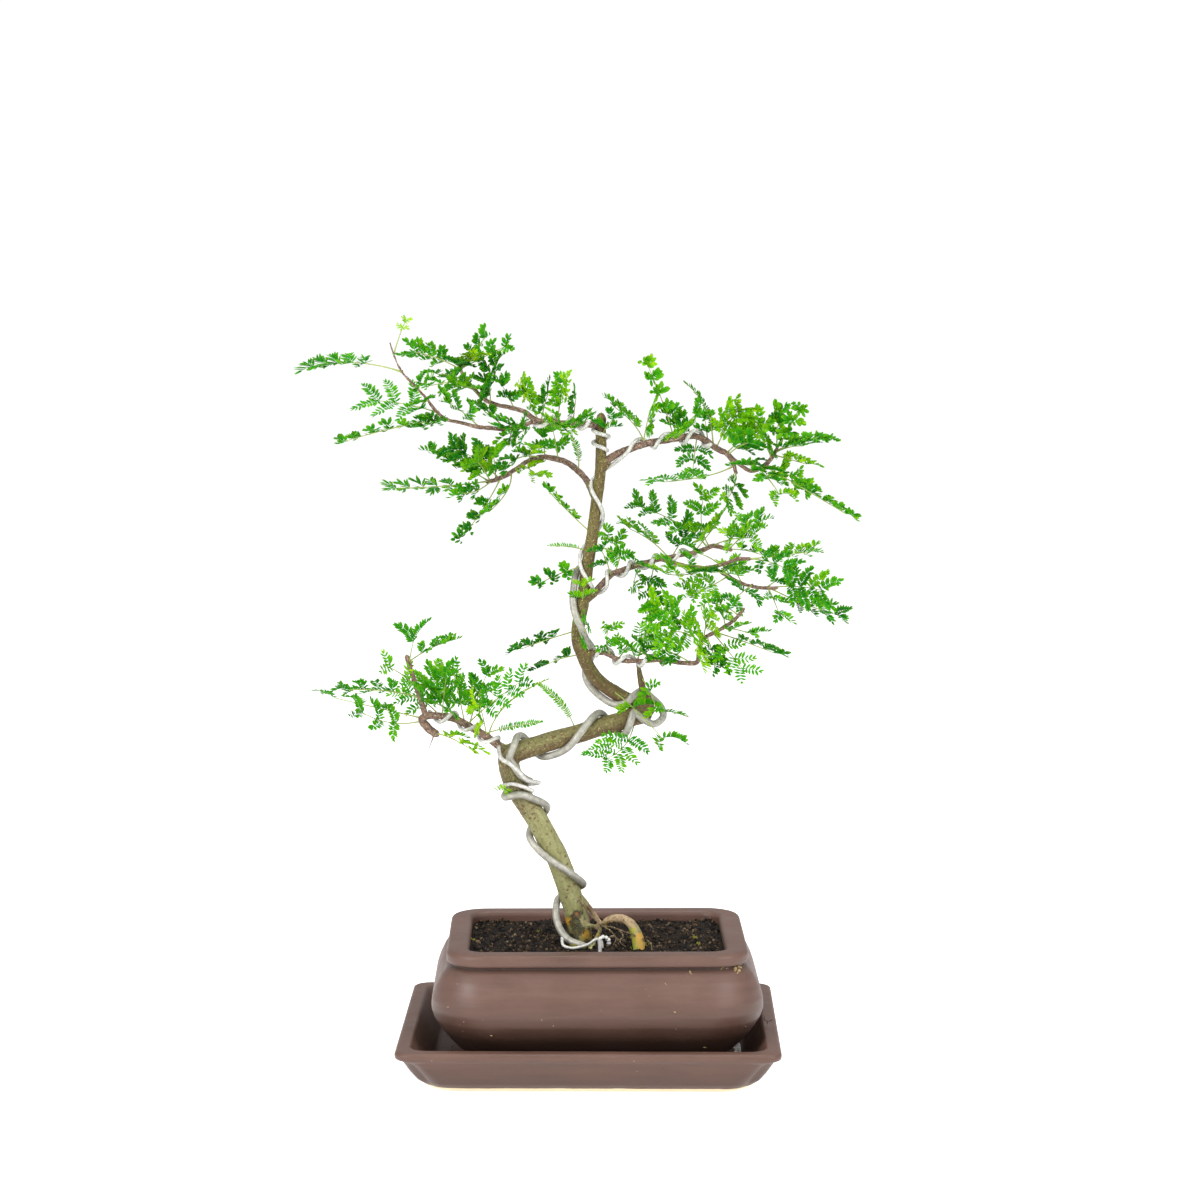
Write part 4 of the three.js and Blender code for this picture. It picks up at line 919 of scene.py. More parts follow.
@dataclass(frozen=True)
class ClayFinish:
    """Unglazed brown clay with a burnished face, fine streaks and pale grit.

    The heights are in metres, and 0 leaves their mark out: the tops of the low shade and of the foot shadow
    are where painted shade starts to darken the clay, low on the body and near-black at the foot, bare_top is
    the top of the worn stripe at the foot, and neck is the middle of the painted shadow line under the rim's
    overhang.
    """

    name: str
    dark: Row = linear(77, 55, 46)
    light: Row = linear(98, 71, 61)
    # Colour of the painted shade low on the body; darkened further, it is also the painted shadow line under
    # the rim
    low_shade: Row = linear(54, 36, 28)
    bare: Row = linear(226, 206, 170)
    # Near-black colour of the painted shadow on the pot's foot
    foot: Row = linear(30, 18, 12)
    grit: Row = linear(165, 150, 138)
    # Where the painted shade low on the body and the painted shadow at the foot begin, and over how much
    # height they deepen
    low_shade_top: float = 0.058
    low_shade_fall: float = 0.035
    foot_shadow_top: float = 0.0
    foot_shadow_fall: float = 0.026
    bare_top: float = 0.0
    neck: float = 0.0
    roughness: float = 0.46

    def make(self) -> Material:
        """Builds the material."""
        mix = Recipe(self.name)
        spot = mix.place()
        height = mix.upward(mix.node("TexCoord").outputs["Object"])
        streaks = mix.noise(mix.place((30, 30, 260)), 1.0, 5, 0.6)
        clouds = mix.noise(spot, 38, 4, 0.6)
        mottled = mix.plus(mix.times(streaks, 0.5), mix.times(clouds, 0.5))
        colour = mix.ramp(mottled, (0.26, self.dark), (0.74, self.light))
        # Painted shade: the clay darkens towards the bottom
        low = mix.span(height, self.low_shade_top, self.low_shade_top - self.low_shade_fall, 0.0, 0.75)
        colour = mix.blend(low, colour, self.low_shade)
        # Painted shadow: the pot's foot goes near-black below its top
        painted_foot_shadow = mix.span(height, self.foot_shadow_top, self.foot_shadow_top - self.foot_shadow_fall, 0.0, 0.8)
        colour = mix.blend(painted_foot_shadow, colour, self.foot)
        specks = mix.span(mix.cells(spot, 210), 0.10, 0.05)
        thin = mix.span(mix.noise(spot, 60, 2), 0.60, 0.68)
        colour = mix.blend(mix.times(specks, thin), colour, self.grit)
        # Painted shadow of the rim's overhang: a dark line just under the rim
        if self.neck:
            above = mix.span(height, self.neck + 0.0018, self.neck + 0.0006)
            below = mix.span(height, self.neck - 0.0026, self.neck - 0.0008)
            rim_shadow = mix.times(mix.times(above, below), 0.6)
            colour = mix.blend(rim_shadow, colour, shaded(self.low_shade, 0.3))
        if self.bare_top:
            ragged = mix.plus(height, mix.span(clouds, 0.3, 0.7, 0.0, 0.0007))
            colour = mix.blend(mix.span(ragged, self.bare_top, self.bare_top - 0.0004), colour, self.bare)
        grain = mix.bump(mix.noise(spot, 900, 6, 0.65), 0.0003, 0.35)
        grain = mix.bump(streaks, 0.0003, 0.1, grain)
        sheen = mix.span(clouds, 0.3, 0.7, self.roughness - 0.06, self.roughness + 0.1)
        return mix.surface(colour, sheen, Normal=grain, Specular_IOR_Level=0.42)


@dataclass(frozen=True)
class EarthFinish:
    """Near-black potting grit, each grain as light as its "tone" says."""

    name: str
    dark: Row = linear(8, 6, 5)
    brown: Row = linear(66, 50, 34)
    light: Row = linear(124, 106, 84)

    def make(self) -> Material:
        """Builds the material."""
        mix = Recipe(self.name)
        spot = mix.place()
        fine = mix.times(mix.noise(spot, 600, 5, 0.7), 0.5)
        shade = mix.plus(fine, mix.times(mix.value("tone"), 0.62))
        colour = mix.ramp(shade, (0.34, self.dark), (0.74, self.brown), (0.94, self.light))
        grain = mix.bump(mix.noise(spot, 1500, 6, 0.7), 0.0004, 0.6)
        return mix.surface(colour, 0.85, Normal=grain, Specular_IOR_Level=0.2)


@dataclass(frozen=True)
class WaterFinish:
    """A still film of water over the clay, with bright glints painted into its colour as painted reflection.
    """

    name: str
    tone: Row = linear(84, 70, 64)
    painted_glint: Row = linear(246, 246, 244)

    def make(self) -> Material:
        """Builds the material."""
        mix = Recipe(self.name)
        spot = mix.place()
        ripples = mix.bump(mix.noise(spot, 260, 3), 0.0012, 0.8)
        # Painted glints: patches of near-white reflection painted into the water's colour
        patchy = mix.span(mix.noise(spot, 330, 4, 0.6), 0.44, 0.52)
        colour = mix.blend(patchy, self.tone, self.painted_glint)
        return mix.surface(colour, 0.08, Normal=ripples, Specular_IOR_Level=0.8)


@dataclass(frozen=True)
class MossFinish:
    """Short yellow-green moss."""

    name: str
    dark: Row = linear(62, 66, 18)
    light: Row = linear(152, 146, 52)

    def make(self) -> Material:
        """Builds the material."""
        mix = Recipe(self.name)
        mottled = mix.noise(mix.place(), 700, 4, 0.7)
        return mix.surface(mix.ramp(mottled, (0.3, self.dark), (0.7, self.light)), 0.9)


@dataclass(frozen=True)
class BarkFinish:
    """Olive-green young bark with brown dashes, browner at its bends, mossy at its foot.

    It reads what Trunk.weather notes on the wood: "straight" is the place about and along it in millimetres,
    "trunk_share" the share of the trunk's length, and each zone runs from 0 to about 1.
    """

    name: str
    green: Row = linear(140, 140, 94)
    deep: Row = linear(110, 106, 58)
    olive: Row = linear(116, 110, 48)
    umber: Row = linear(84, 72, 30)
    brown: Row = linear(88, 54, 34)
    # Dark colour of the scales, painted thicker on the underside as painted shade
    scale: Row = linear(84, 56, 30)
    fleck: Row = linear(196, 186, 122)
    pale: Row = linear(164, 140, 106)
    zones: tuple[tuple[str, Row], ...] = (
        ("mossed", linear(128, 108, 26)), ("yellowed", linear(176, 132, 34)),
        ("greened", linear(132, 140, 26)), ("damped", linear(26, 26, 8)), ("ringed", linear(44, 26, 10)),
        ("scarred", linear(146, 88, 48)),
    )

    def grown(self, mix: Recipe, straight: Socket, spot: Socket) -> Socket:
        """Gives the sound bark's colour, greener low on the trunk and browner high on it."""
        clouds = mix.noise(mix.stretched(straight, (0.35, 0.35, 0.09)), 1.0, 5, 0.6)
        mottled = mix.plus(mix.times(clouds, 0.55), mix.times(mix.noise(spot, 520, 5, 0.7), 0.45))
        low = mix.ramp(mottled, (0.36, self.deep), (0.6, self.green))
        high = mix.ramp(mottled, (0.38, self.umber), (0.6, self.olive))
        return mix.blend(mix.span(mix.value("trunk_share"), 0.26, 0.62), low, high)

    def flecked(self, mix: Recipe, spot: Socket, dash: Socket, colour: Socket) -> Socket:
        """Adds the brown dashes and small brown flecks."""
        colour = mix.blend(mix.times(dash, 0.8), colour, self.brown)
        flecks = mix.span(mix.cells(spot, 420), 0.22, 0.12)
        some = mix.times(mix.span(mix.noise(spot, 150, 3), 0.45, 0.6), 0.8)
        return mix.blend(mix.times(flecks, some), colour, self.brown)

    def make(self) -> Material:
        """Builds the material."""
        mix = Recipe(self.name)
        straight = mix.value("straight", vector=True)
        spot = mix.place()
        dash = mix.span(mix.cells(mix.stretched(straight, (0.36, 0.36, 0.62)), 0.85), 0.34, 0.2)
        colour = self.flecked(mix, spot, dash, self.grown(mix, straight, spot))

        # Scales, denser on the underside as painted shade, and pale flecks from the first bend up
        risen = mix.span(mix.value("trunk_share"), 0.2, 0.34)
        facing = mix.upward(mix.node("NewGeometry").outputs["Normal"])
        under = mix.span(facing, 0.35, -0.5, 0.0, 0.55)
        aged_and_shaded = mix.plus(mix.times(under, risen), mix.times(risen, 0.16))
        scales = mix.noise(mix.stretched(straight, (1.5, 1.5, 0.9)), 1.0, 5, 0.7)
        scaly = mix.span(mix.plus(scales, mix.times(aged_and_shaded, 0.32)), 0.6, 0.68)
        colour = mix.blend(mix.times(scaly, 0.7), colour, self.scale)
        bright = mix.span(mix.noise(spot, 800, 5, 0.7), 0.58, 0.66)
        colour = mix.blend(mix.times(bright, mix.times(risen, 0.8)), colour, self.fleck)

        # Brown bends, and the pale fissured roots
        patchy = mix.plus(mix.span(mix.noise(spot, 260, 4, 0.65), 0.35, 0.6), 0.35)
        colour = mix.blend(mix.times(mix.value("browned"), patchy), colour, self.brown)
        paled = mix.value("paled")
        colour = mix.blend(paled, colour, self.pale)
        fissured = mix.noise(mix.stretched(straight, (0.5, 0.5, 1.5)), 1.0, 4, 0.6)
        fissures = mix.times(mix.span(fissured, 0.52, 0.6), paled)
        colour = mix.blend(mix.times(fissures, 0.75), colour, self.brown)

        # Patches with ragged edges about the foot
        ragged = mix.span(mix.noise(spot, 460, 6, 0.75), 0.25, 0.75, -0.42, 0.42)
        worn = mix.span(mix.noise(spot, 1100, 4, 0.7), 0.36, 0.62, 0.55, 1.0)
        for zone, tone in self.zones:
            value = mix.value(zone)
            patch = mix.span(mix.plus(value, ragged), 0.38, 0.66)
            held = mix.times(patch, mix.span(value, 0.02, 0.2))
            colour = mix.blend(mix.times(held, worn), colour, tone)

        grooves = mix.noise(mix.stretched(straight, (1.4, 1.4, 0.3)), 1.0, 6, 0.7)
        normal = mix.bump(grooves, 0.0006, 0.6)
        normal = mix.bump(dash, 0.0004, 0.5, normal)
        normal = mix.bump(scaly, 0.0004, 0.6, normal)
        return mix.surface(colour, 0.62, Normal=normal)


@dataclass(frozen=True)
class TwigFinish:
    """Dark red-brown flaking bark of the side branches."""

    name: str
    dark: Row = linear(58, 42, 34)
    light: Row = linear(132, 104, 84)
    flake: Row = linear(190, 172, 154)

    def make(self) -> Material:
        """Builds the material."""
        mix = Recipe(self.name)
        spot = mix.place()
        colour = mix.ramp(mix.noise(spot, 520, 5, 0.75), (0.36, self.dark), (0.62, self.light))
        flakes = mix.span(mix.noise(spot, 760, 4, 0.7), 0.57, 0.64)
        colour = mix.blend(mix.times(flakes, 0.75), colour, self.flake)
        return mix.surface(colour, 0.7, Normal=mix.bump(mix.noise(spot, 900, 5, 0.7), 0.0006, 0.9))


@dataclass(frozen=True)
class WireFinish:
    """Dull grey training wire of anodised aluminium."""

    name: str
    colour: Row

    def make(self) -> Material:
        """Builds the material."""
        mix = Recipe(self.name)
        spot = mix.place()
        worn = mix.span(mix.noise(spot, 420, 5, 0.65), 0.36, 0.64)
        colour = mix.blend(worn, self.colour, shaded(self.colour, 0.66))
        rough = mix.span(mix.noise(spot, 300, 3), 0.3, 0.7, 0.45, 0.6)
        normal = mix.bump(mix.noise(spot, 1200, 3), 0.0001, 0.2)
        return mix.surface(colour, rough, Metallic=0.35, Normal=normal)


@dataclass(frozen=True)
class LeafletFinish:
    """Thin green leaflets that let light through, light by their "tint" and yellower at their "edge"."""

    name: str
    stops: tuple[tuple[float, Row], ...] = (
        (0.0, linear(10, 88, 22)), (0.3, linear(22, 122, 14)), (0.55, linear(58, 154, 6)),
        (0.8, linear(118, 188, 8)), (1.0, linear(178, 212, 18)),
    )
    roughness: float = 0.55
    glow: float = 0.38
    through: Row = linear(130, 210, 0)
    margin: Row = linear(138, 192, 20)

    def make(self) -> Material:
        """Builds the material."""
        mix = Recipe(self.name)
        fine = mix.span(mix.noise(mix.place(), 300, 3), 0.3, 0.7, 0.0, 0.1)
        colour = mix.ramp(mix.plus(mix.times(mix.value("tint"), 0.9), fine), *self.stops)
        rim = mix.times(mix.math("POWER", mix.value("edge"), 2.0, clamped=False), 0.6)
        colour = mix.blend(rim, colour, self.margin)
        leaf = mix.node("BsdfPrincipled", Base_Color=colour, Roughness=self.roughness, Specular_IOR_Level=0.1)
        through = mix.node("BsdfTranslucent", Color=mix.blend(0.35, colour, self.through))
        both = mix.node("MixShader", Fac=self.glow, i1=leaf.outputs[0], i2=through.outputs[0])
        return mix.finish(both.outputs[0])


@dataclass(frozen=True)
class StalkFinish:
    """Pale green leaf stalks."""

    name: str
    green: Row = linear(122, 152, 58)
    straw: Row = linear(150, 150, 84)

    def make(self) -> Material:
        """Builds the material."""
        mix = Recipe(self.name)
        return mix.surface(mix.blend(mix.noise(mix.place(), 220, 3), self.green, self.straw), 0.5)


# Pot and saucer
class Profile:
    """The section of a rounded-rectangular vessel, from its underside over the rim to the floor."""

    fillet = 1.2
    dent_spread = 0.36
    sharpest = 0.5
    signs = ((1, 1), (-1, 1), (-1, -1), (1, -1))

    def __init__(self, half: Row, rows: Sequence[Row], corner_steps: int = 12, side_steps: int = 10) -> None:
        """Keeps the section.

        Args:
            half: Half width and half depth that the insets are counted from.
            rows: Inset, height, corner radius and, if any, corner dent of each row.
            corner_steps: Steps round each corner.
            side_steps: Steps along each side.
        """
        self.half = half
        self.rows = np.array(rows, float)
        self.corner_steps = corner_steps
        self.side_steps = side_steps
        self.size = 4 * (corner_steps + side_steps)

    def softened(self) -> Array:
        """Gives the rows with their edges rounded off."""
        soft = [self.rows[0]]
        for before, row, after in zip(self.rows, self.rows[1:], self.rows[2:]):
            near = min(self.fillet, 0.45 * np.linalg.norm((row - before)[:2]),
                       0.45 * np.linalg.norm((after - row)[:2]))
            start = row + (before - row) * near / np.linalg.norm((row - before)[:2])
            end = row + (after - row) * near / np.linalg.norm((after - row)[:2])
            soft.extend(bow_at(t, start, row, end) for t in (0, 0.33, 0.67, 1))
        soft.append(self.rows[-1])
        return np.array(soft)

    def outline(self, inset: float, corner: float, dent: float = 0.0) -> Array:
        """Gives the rounded rectangle of one row, counter-clockwise from the +X side."""
        corners = []
        radius = max(corner, self.sharpest)
        half = np.array([self.half[0] - inset - radius, self.half[1] - inset - radius])
        for quarter, sign in enumerate(self.signs):
            turn = (quarter + np.linspace(0, 1, self.corner_steps + 1)) * math.pi / 2
            off_middle = (turn - (quarter + 0.5) * math.pi / 2) / self.dent_spread
            corners.append(half * sign + (radius - dent * np.exp(-off_middle ** 2))[:, None]
                           * np.stack([np.cos(turn), np.sin(turn)], -1))
        ring = []
        for spots, after in zip(corners, [*corners[1:], corners[0]]):
            steps = np.arange(1, self.side_steps) / self.side_steps
            ring.extend([spots, spots[-1] + (after[0] - spots[-1]) * steps[:, None]])
        return np.vstack(ring)

    def ring(self, height: float, inset: float, corner: float, dent: float = 0.0) -> Array:
        """Gives one row's outline at its height."""
        return np.column_stack([self.outline(inset, corner, dent), np.full(self.size, height)])

    def extrude(self, name: str) -> Piece:
        """Extrudes a rounded slab row by row into a closed vessel.

        Args:
            name: Name of the piece.

        Returns:
            The object.
        """
        rings = [self.ring(height, inset, *rest) for inset, height, *rest in self.softened()]
        piece = primitive(bpy.ops.mesh.primitive_circle_add, vertices=self.size, radius=1, fill_type="NGON")
        piece.name = piece.data.name = name
        for vertex, spot in zip(piece.data.vertices, rings[0]):
            vertex.co = spot * MM
        bpy.ops.object.mode_set(mode="EDIT")
        bpy.ops.mesh.select_all(action="SELECT")
        for before, ring in zip(rings, rings[1:]):
            bpy.ops.mesh.extrude_region_move()
            form = bmesh.from_edit_mesh(piece.data)
            cap = next(face for face in form.faces if face.select)
            for vertex in cap.verts:
                place = np.argmin(np.abs(before * MM - np.array(vertex.co)).sum(axis=1))
                vertex.co = ring[place] * MM
            bmesh.update_edit_mesh(piece.data)
        bpy.ops.mesh.select_all(action="SELECT")
        bpy.ops.mesh.normals_make_consistent(inside=False)
        bpy.ops.object.mode_set(mode="OBJECT")
        return piece


@dataclass
class Planter:
    """The shallow rectangular pot with a banded rim, and the saucer that it stands in."""

    foot_radius: float = 11.0
    foot_inset: float = 40.0
    foot_overlap: float = 2.0
    drain_radius: float = 6.0
    smooth_under: float = math.radians(40)

    def pot(self) -> None:
        """Models the pot: body, neck, rim band, feet and drain hole."""
        band = RIM_TOP - RIM_FACE
        bottom = SAUCER_FLOOR + GAP
        rows = [
            (21, bottom + FOOT_HEIGHT, 22), (14, 13.5, 25), (7.5, 18.5, 29), (2.5, 24, 32), (-3, 31.5, 34),
            (-7.6, 39.5, 35), (-9.4, 46, 35), (-9, 52, 34), (-6.7, 59, 31), (-3.5, 65.5, 27), (0.2, 70.4, 23),
            (3.3, band - 1.6, 20), (3, band - 0.5, 20), (0.8, band, RIM_CORNER - 1),
            (0, band + 1.5, RIM_CORNER), (0, RIM_TOP - 2, RIM_CORNER), (1.6, RIM_TOP, RIM_CORNER - 1),
            (RIM_WIDTH, RIM_TOP, INNER_CORNER), (NECK_INSET, RIM_TOP - 2, INNER_CORNER),
            (NECK_INSET, RIM_TOP - 9, INNER_CORNER), (POT_WALL - 9, 46, 26), (POT_WALL + 2, 27, 24),
            (POT_WALL + 13, POT_FLOOR, 20),
        ]
        pot = Profile(RIM_HALF, rows).extrude("clay_pot")
        for sx in (1, -1):
            for sy in (1, -1):
                spot = (sx * (RIM_HALF[0] - self.foot_inset), sy * (RIM_HALF[1] - self.foot_inset))
                top = bottom + FOOT_HEIGHT + self.foot_overlap
                self.combine(pot, "UNION", self.foot_radius, spot, bottom, top)
        self.combine(pot, "DIFFERENCE", self.drain_radius, (0, 0), 0, POT_FLOOR + 5)
        shift_into_saucer(pot)
        # The neck and the foot top place the pot's painted shadow lines
        self.dress(pot, ClayFinish("burnished_clay", neck=0.0733, foot_shadow_top=0.04), "pot")

    def combine(self, pot: Piece, work: str, radius: float, spot: Row, bottom: float, top: float) -> None:
        """Joins an upright disc to the pot, or cuts it out.

        Args:
            pot: The pot.
            work: UNION or DIFFERENCE.
            radius: Radius of the disc.
            spot: Its place across and back.
            bottom: Height of its underside.
            top: Height of its top.
        """
        disc = primitive(bpy.ops.mesh.primitive_cylinder_add, vertices=32, radius=radius * MM,
                         depth=(top - bottom) * MM,
                         location=(spot[0] * MM, spot[1] * MM, (top + bottom) / 2 * MM))
        modify(pot, "BOOLEAN", operation=work, object=disc)
        bpy.data.objects.remove(disc, do_unlink=True)

    def saucer(self) -> None:
        """Models the saucer with its upright lip and scooped corners."""
        rows = [
            (22, 0, 16, 0), (17.5, 1.5, 17, 0.8), (12, 6, 17, 3), (8, 12, 16, 4.2), (4.6, 18.5, 14, 3.6),
            (3.2, 21.2, 12, 2), (0.6, 22.8, SAUCER_CORNER, 0), (0, 24.6, SAUCER_CORNER, 0),
            (0, SAUCER_HEIGHT - 1.4, SAUCER_CORNER, 0), (1.6, SAUCER_HEIGHT, SAUCER_CORNER, 0),
            (SAUCER_RIM_WIDTH - 1.2, SAUCER_HEIGHT, 11, 0), (SAUCER_RIM_WIDTH, SAUCER_HEIGHT - 1.2, 11, 0),
            (SAUCER_RIM_WIDTH + 10, SAUCER_FLOOR + 1.5, 12, 0), (SAUCER_RIM_WIDTH + 13, SAUCER_FLOOR, 12, 0),
        ]
        # The saucer's clay darkens towards its base as painted shade
        finish = ClayFinish("saucer_clay", dark=linear(76, 54, 45), light=linear(97, 70, 59), low_shade_top=0.025,
                            bare_top=0.0036)
        self.dress(Profile(SAUCER_HALF, rows).extrude("clay_saucer"), finish, "saucer")

    def dress(self, vessel: Piece, finish: ClayFinish, node: str) -> None:
        """Smooths a vessel up to its edges, gives it its clay and ties it to its node."""
        only(vessel)
        bpy.ops.object.shade_smooth_by_angle(angle=self.smooth_under)
        vessel.data.materials.append(finish.make())
        settle(vessel, Slot.CLAY, node)

    def build(self) -> None:
        """Builds the pot and the saucer."""
        self.pot()
        self.saucer()


# Soil
@dataclass
class Ground:
    """Potting grit up to just under the rim."""

    grains: int = 4800
    forms: int = 6
    grain_size: Row = (0.9, 3.4)
    half: Row = (76.2, 56.0)
    ring_step: float = 2.2
    last_inset: float = 68.0
    bed_tone: float = 0.2
    seed: int = 11

    def relief(self, x: float, y: float) -> float:
        """Gives the height of the top at a place, over its mean level."""
        broad = 1.1 * (math.sin(0.19 * x + 1) * math.cos(0.23 * y) + 0.5 * math.sin(0.43 * x - 0.31 * y))
        lumps = 0.7 * noise.noise(Vector((x / 3.4, y / 3.4, 0)))
        return broad + lumps + 0.5 * noise.noise(Vector((x / 1.7, y / 1.7, 4)))

    def bed(self) -> Shape:
        """Makes the closed bed of soil with a relief on its top."""
        profile = Profile(RIM_HALF, [
            (POT_WALL + 13.7, POT_FLOOR + GAP, 20), (POT_WALL + 2.8, 27.5, 24), (POT_WALL - 8.4, 46, 26),
            (NECK_INSET + 0.5, RIM_TOP - 10, INNER_CORNER), (NECK_INSET + 0.4, SOIL_TOP, INNER_CORNER),
        ], corner_steps=6, side_steps=24)
        rings = [profile.ring(height, inset, corner) for inset, height, corner in profile.rows]
        for inset in np.arange(NECK_INSET + 2.5, self.last_inset, self.ring_step):
            spots = profile.outline(inset, max(INNER_CORNER - (inset - NECK_INSET) * 0.16, 1.5))
            rings.append(np.column_stack([spots, [SOIL_TOP + self.relief(*spot) for spot in spots]]))
        size, total = profile.size, len(rings) * profile.size
        faces = [tuple(range(size))[::-1], *band_faces(len(rings), size), tuple(range(total - size, total))]
        shape = Shape()
        shape.add(np.vstack(rings), faces, tone=self.bed_tone)
        return shape

    def grit(self, shape: Shape) -> None:
        """Scatters irregular grains over the bed."""
        corners, faces = grain_template()
        draw = np.random.default_rng(self.seed)
        count = self.grains // self.forms
        least, most = self.grain_size
        for _ in range(self.forms):
            form = corners * draw.uniform(0.7, 1.25, (len(corners), 1))
            x = draw.uniform(-self.half[0], self.half[0], count)
            y = draw.uniform(-self.half[1], self.half[1], count)
            z = [SOIL_TOP + self.relief(*spot) + 0.1 for spot in zip(x, y)]
            size = least + (most - least) * draw.random(count) ** 2.2
            first = unit(draw.normal(size=(count, 3)))
            second = square_to(draw.normal(size=(count, 3)), first)
            axes = (first * size[:, None], second * (size * draw.uniform(0.6, 1, count))[:, None],
                    np.cross(first, second) * (size * draw.uniform(0.5, 0.9, count))[:, None])
            shape.stamp((form, faces), np.column_stack([x, y, z]), axes, tone=draw.random(count) ** 1.6)

    def build(self) -> None:
        """Builds the soil."""
        shape = self.bed()
        self.grit(shape)
        soil = shape.build("potting_grit", [EarthFinish("potting_grit").make()], smooth=False)
        shift_into_saucer(soil)
        settle(soil, Slot.EARTH, "soil")


# Small things on the soil, in the saucer and on the pot
@dataclass
class Litter:
    """Moss, rootlets, crumbs and chips, each set where the front view shows it.

    Spots are (across, down) on the front sheet, with a size in millimetres; rows are (across, down, depth).
    """

    seed: int = 23
    moss_spots: tuple[Row, ...] = (
        (566, 938, 2.6), (574, 946, 2.2), (584, 948, 2), (603, 927, 2.4), (606, 923, 1.6), (632, 938, 1.8),
        (646, 944, 2.4), (636, 948, 2.6), (473, 940, 1.2), (695, 938, 1.4), (698, 944, 1.2), (538, 932, 0.6),
    )
    moss_blades: float = 13.0
    rootlets: tuple[tuple[Row, ...], ...] = (
        ((583, 905, -6), (590, 914, -9), (597, 922, -12), (603, 926, -14)),
        ((603, 926, -14), (612, 927, -15), (620, 930, -18), (631, 934, -23)),
        ((592, 926, -10), (598, 930, -14), (600, 936, -18), (594, 941, -22)),
        ((603, 926, -14), (612, 932, -19), (616, 939, -23), (613, 945, -27)),
        ((618, 929, -17), (623, 935, -21), (620, 942, -26), (626, 947, -29)),
        ((606, 940, -24), (613, 936, -21), (620, 940, -24), (624, 937, -22)),
        ((647, 940, -24), (651, 944, -27), (652, 950, -31), (652, 956, -35)),
    )
    stub_ends: tuple[Row, Row] = ((597, 956, -27), (591, 947, -24))
    chips: tuple[Row, ...] = (
        (738, 966, 3.4), (737, 969, 3.4), (736, 971, 2.2), (722, 968, 1.1), (727, 968, 0.9), (690, 973, 1.5),
        (492, 1035, 0.9), (675, 1012, 0.9), (666, 984, 0.7), (448, 1007, 0.6), (745, 1026, 0.6),
        (704, 1047, 0.8),
    )
    crack_lines: tuple[tuple[Row, ...], ...] = (
        ((764, 1017), (765, 1020), (768, 1021.5), (770, 1021)), ((770, 1021), (772, 1020), (775, 1021)),
        ((767, 1021.5), (767.5, 1024)),
    )
    crack_radius: float = 0.2
    twist_rows: tuple[Row, ...] = (
        (600, 957, -40), (600, 948, -40), (600, 939, -40), (603, 937, -39), (608, 939, -38), (609, 944, -37),
    )
    twist_radius: float = 1.15
    pool_spot: Row = (742, 1047)
    pool_half: Row = (6.5, 15.0, 0.35)
    crumbs: int = 110
    crumb_across: Row = (72, 88)
    crumb_back: Row = (52, 68)

    def on(self, piece: Piece, across: float, down: float) -> tuple[Array, Array]:
        """Finds the place and the normal where the front view's ray first meets a piece.

        Args:
            piece: The piece.
            across: Sheet pixels from the left.
            down: Sheet pixels from the top.

        Returns:
            The place in millimetres and the unit normal.
        """
        eye = Vector(EYE.place) * MM
        aim = Vector(EYE.seen(across, down, 0.0)) * MM - eye
        hit, place, normal, _ = piece.ray_cast(eye, aim.normalized())
        if not hit:
            raise ValueError(f"{piece.name} is not seen at {across}, {down}")
        return np.array(place) / MM, np.array(normal)

    def tufts(self, soil: Piece) -> None:
        """Sets tufts of moss on the soil."""
        draw = np.random.default_rng(self.seed)
        shape = Shape()
        for across, down, reach in self.moss_spots:
            middle, _ = self.on(soil, across, down)
            count = int(self.moss_blades * reach)
            off = np.column_stack([draw.normal(0, reach * 0.55, (count, 2)), draw.uniform(-0.6, 0.3, count)])
            for spot in middle + off:
                lean = np.array([*draw.normal(0, 0.35, 2), 1.0])
                tip = spot + unit(lean) * draw.uniform(0.7, 1.7)
                shape.tube(np.array([spot, (spot + tip) / 2, tip]), np.array([0.3, 0.24, 0.1]), 4)
        settle(shape.build("moss_tufts", [MossFinish("moss").make()]), Slot.EARTH)

    def roots(self) -> None:
        """Lays the thin rootlets and the cut stub at the trunk's foot."""
        shape = Shape()
        for number, rows in enumerate(self.rootlets):
            line = Path(seen_line(rows))
            radii = np.linspace(0.55, 0.25, 14)
            shape.tube(line.at(np.linspace(0, 1, len(radii))), radii, 6, rough=0.15, seed=number * 3.0)
        bark = TwigFinish("rootlet_bark", light=linear(104, 88, 44))
        settle(shape.build("rootlets", [bark.make()]), Slot.BARK)
        stub = Shape()
        stub.tube(np.linspace(*seen_line(self.stub_ends), 6), np.array([2.6, 2.7, 2.7, 2.6, 2.5, 2.2]), 14)
        skin = StalkFinish("stub_skin", green=linear(140, 150, 74), straw=linear(168, 160, 110))
        settle(stub.build("cut_stub", [skin.make()]), Slot.BARK)

    def chipped(self, pot: Piece) -> None:
        """Sets pale grit chips on the pot's face, three to a spot."""
        draw = np.random.default_rng(self.seed + 1)
        shape = Shape()
        for across, down, size in self.chips:
            place, normal = self.on(pot, across, down)
            beside = square_to(np.array([1.0, 0.0, 0.4]), normal)
            above = np.cross(normal, beside)
            for _ in range(3):
                spot = place + beside * draw.normal(0, 0.4 * size) + above * draw.normal(0, 0.4 * size)
                radius = size * draw.uniform(0.5, 0.9) / 2
                shape.tube(np.linspace(spot - normal * 0.3, spot + normal * 0.22, 4), np.full(4, radius), 6,
                           rough=0.3, seed=across + down)
        grit = EarthFinish("pale_grit", dark=linear(150, 128, 92), brown=linear(206, 186, 146))
        settle(shape.build("grit_chips", [grit.make()]), Slot.CLAY)

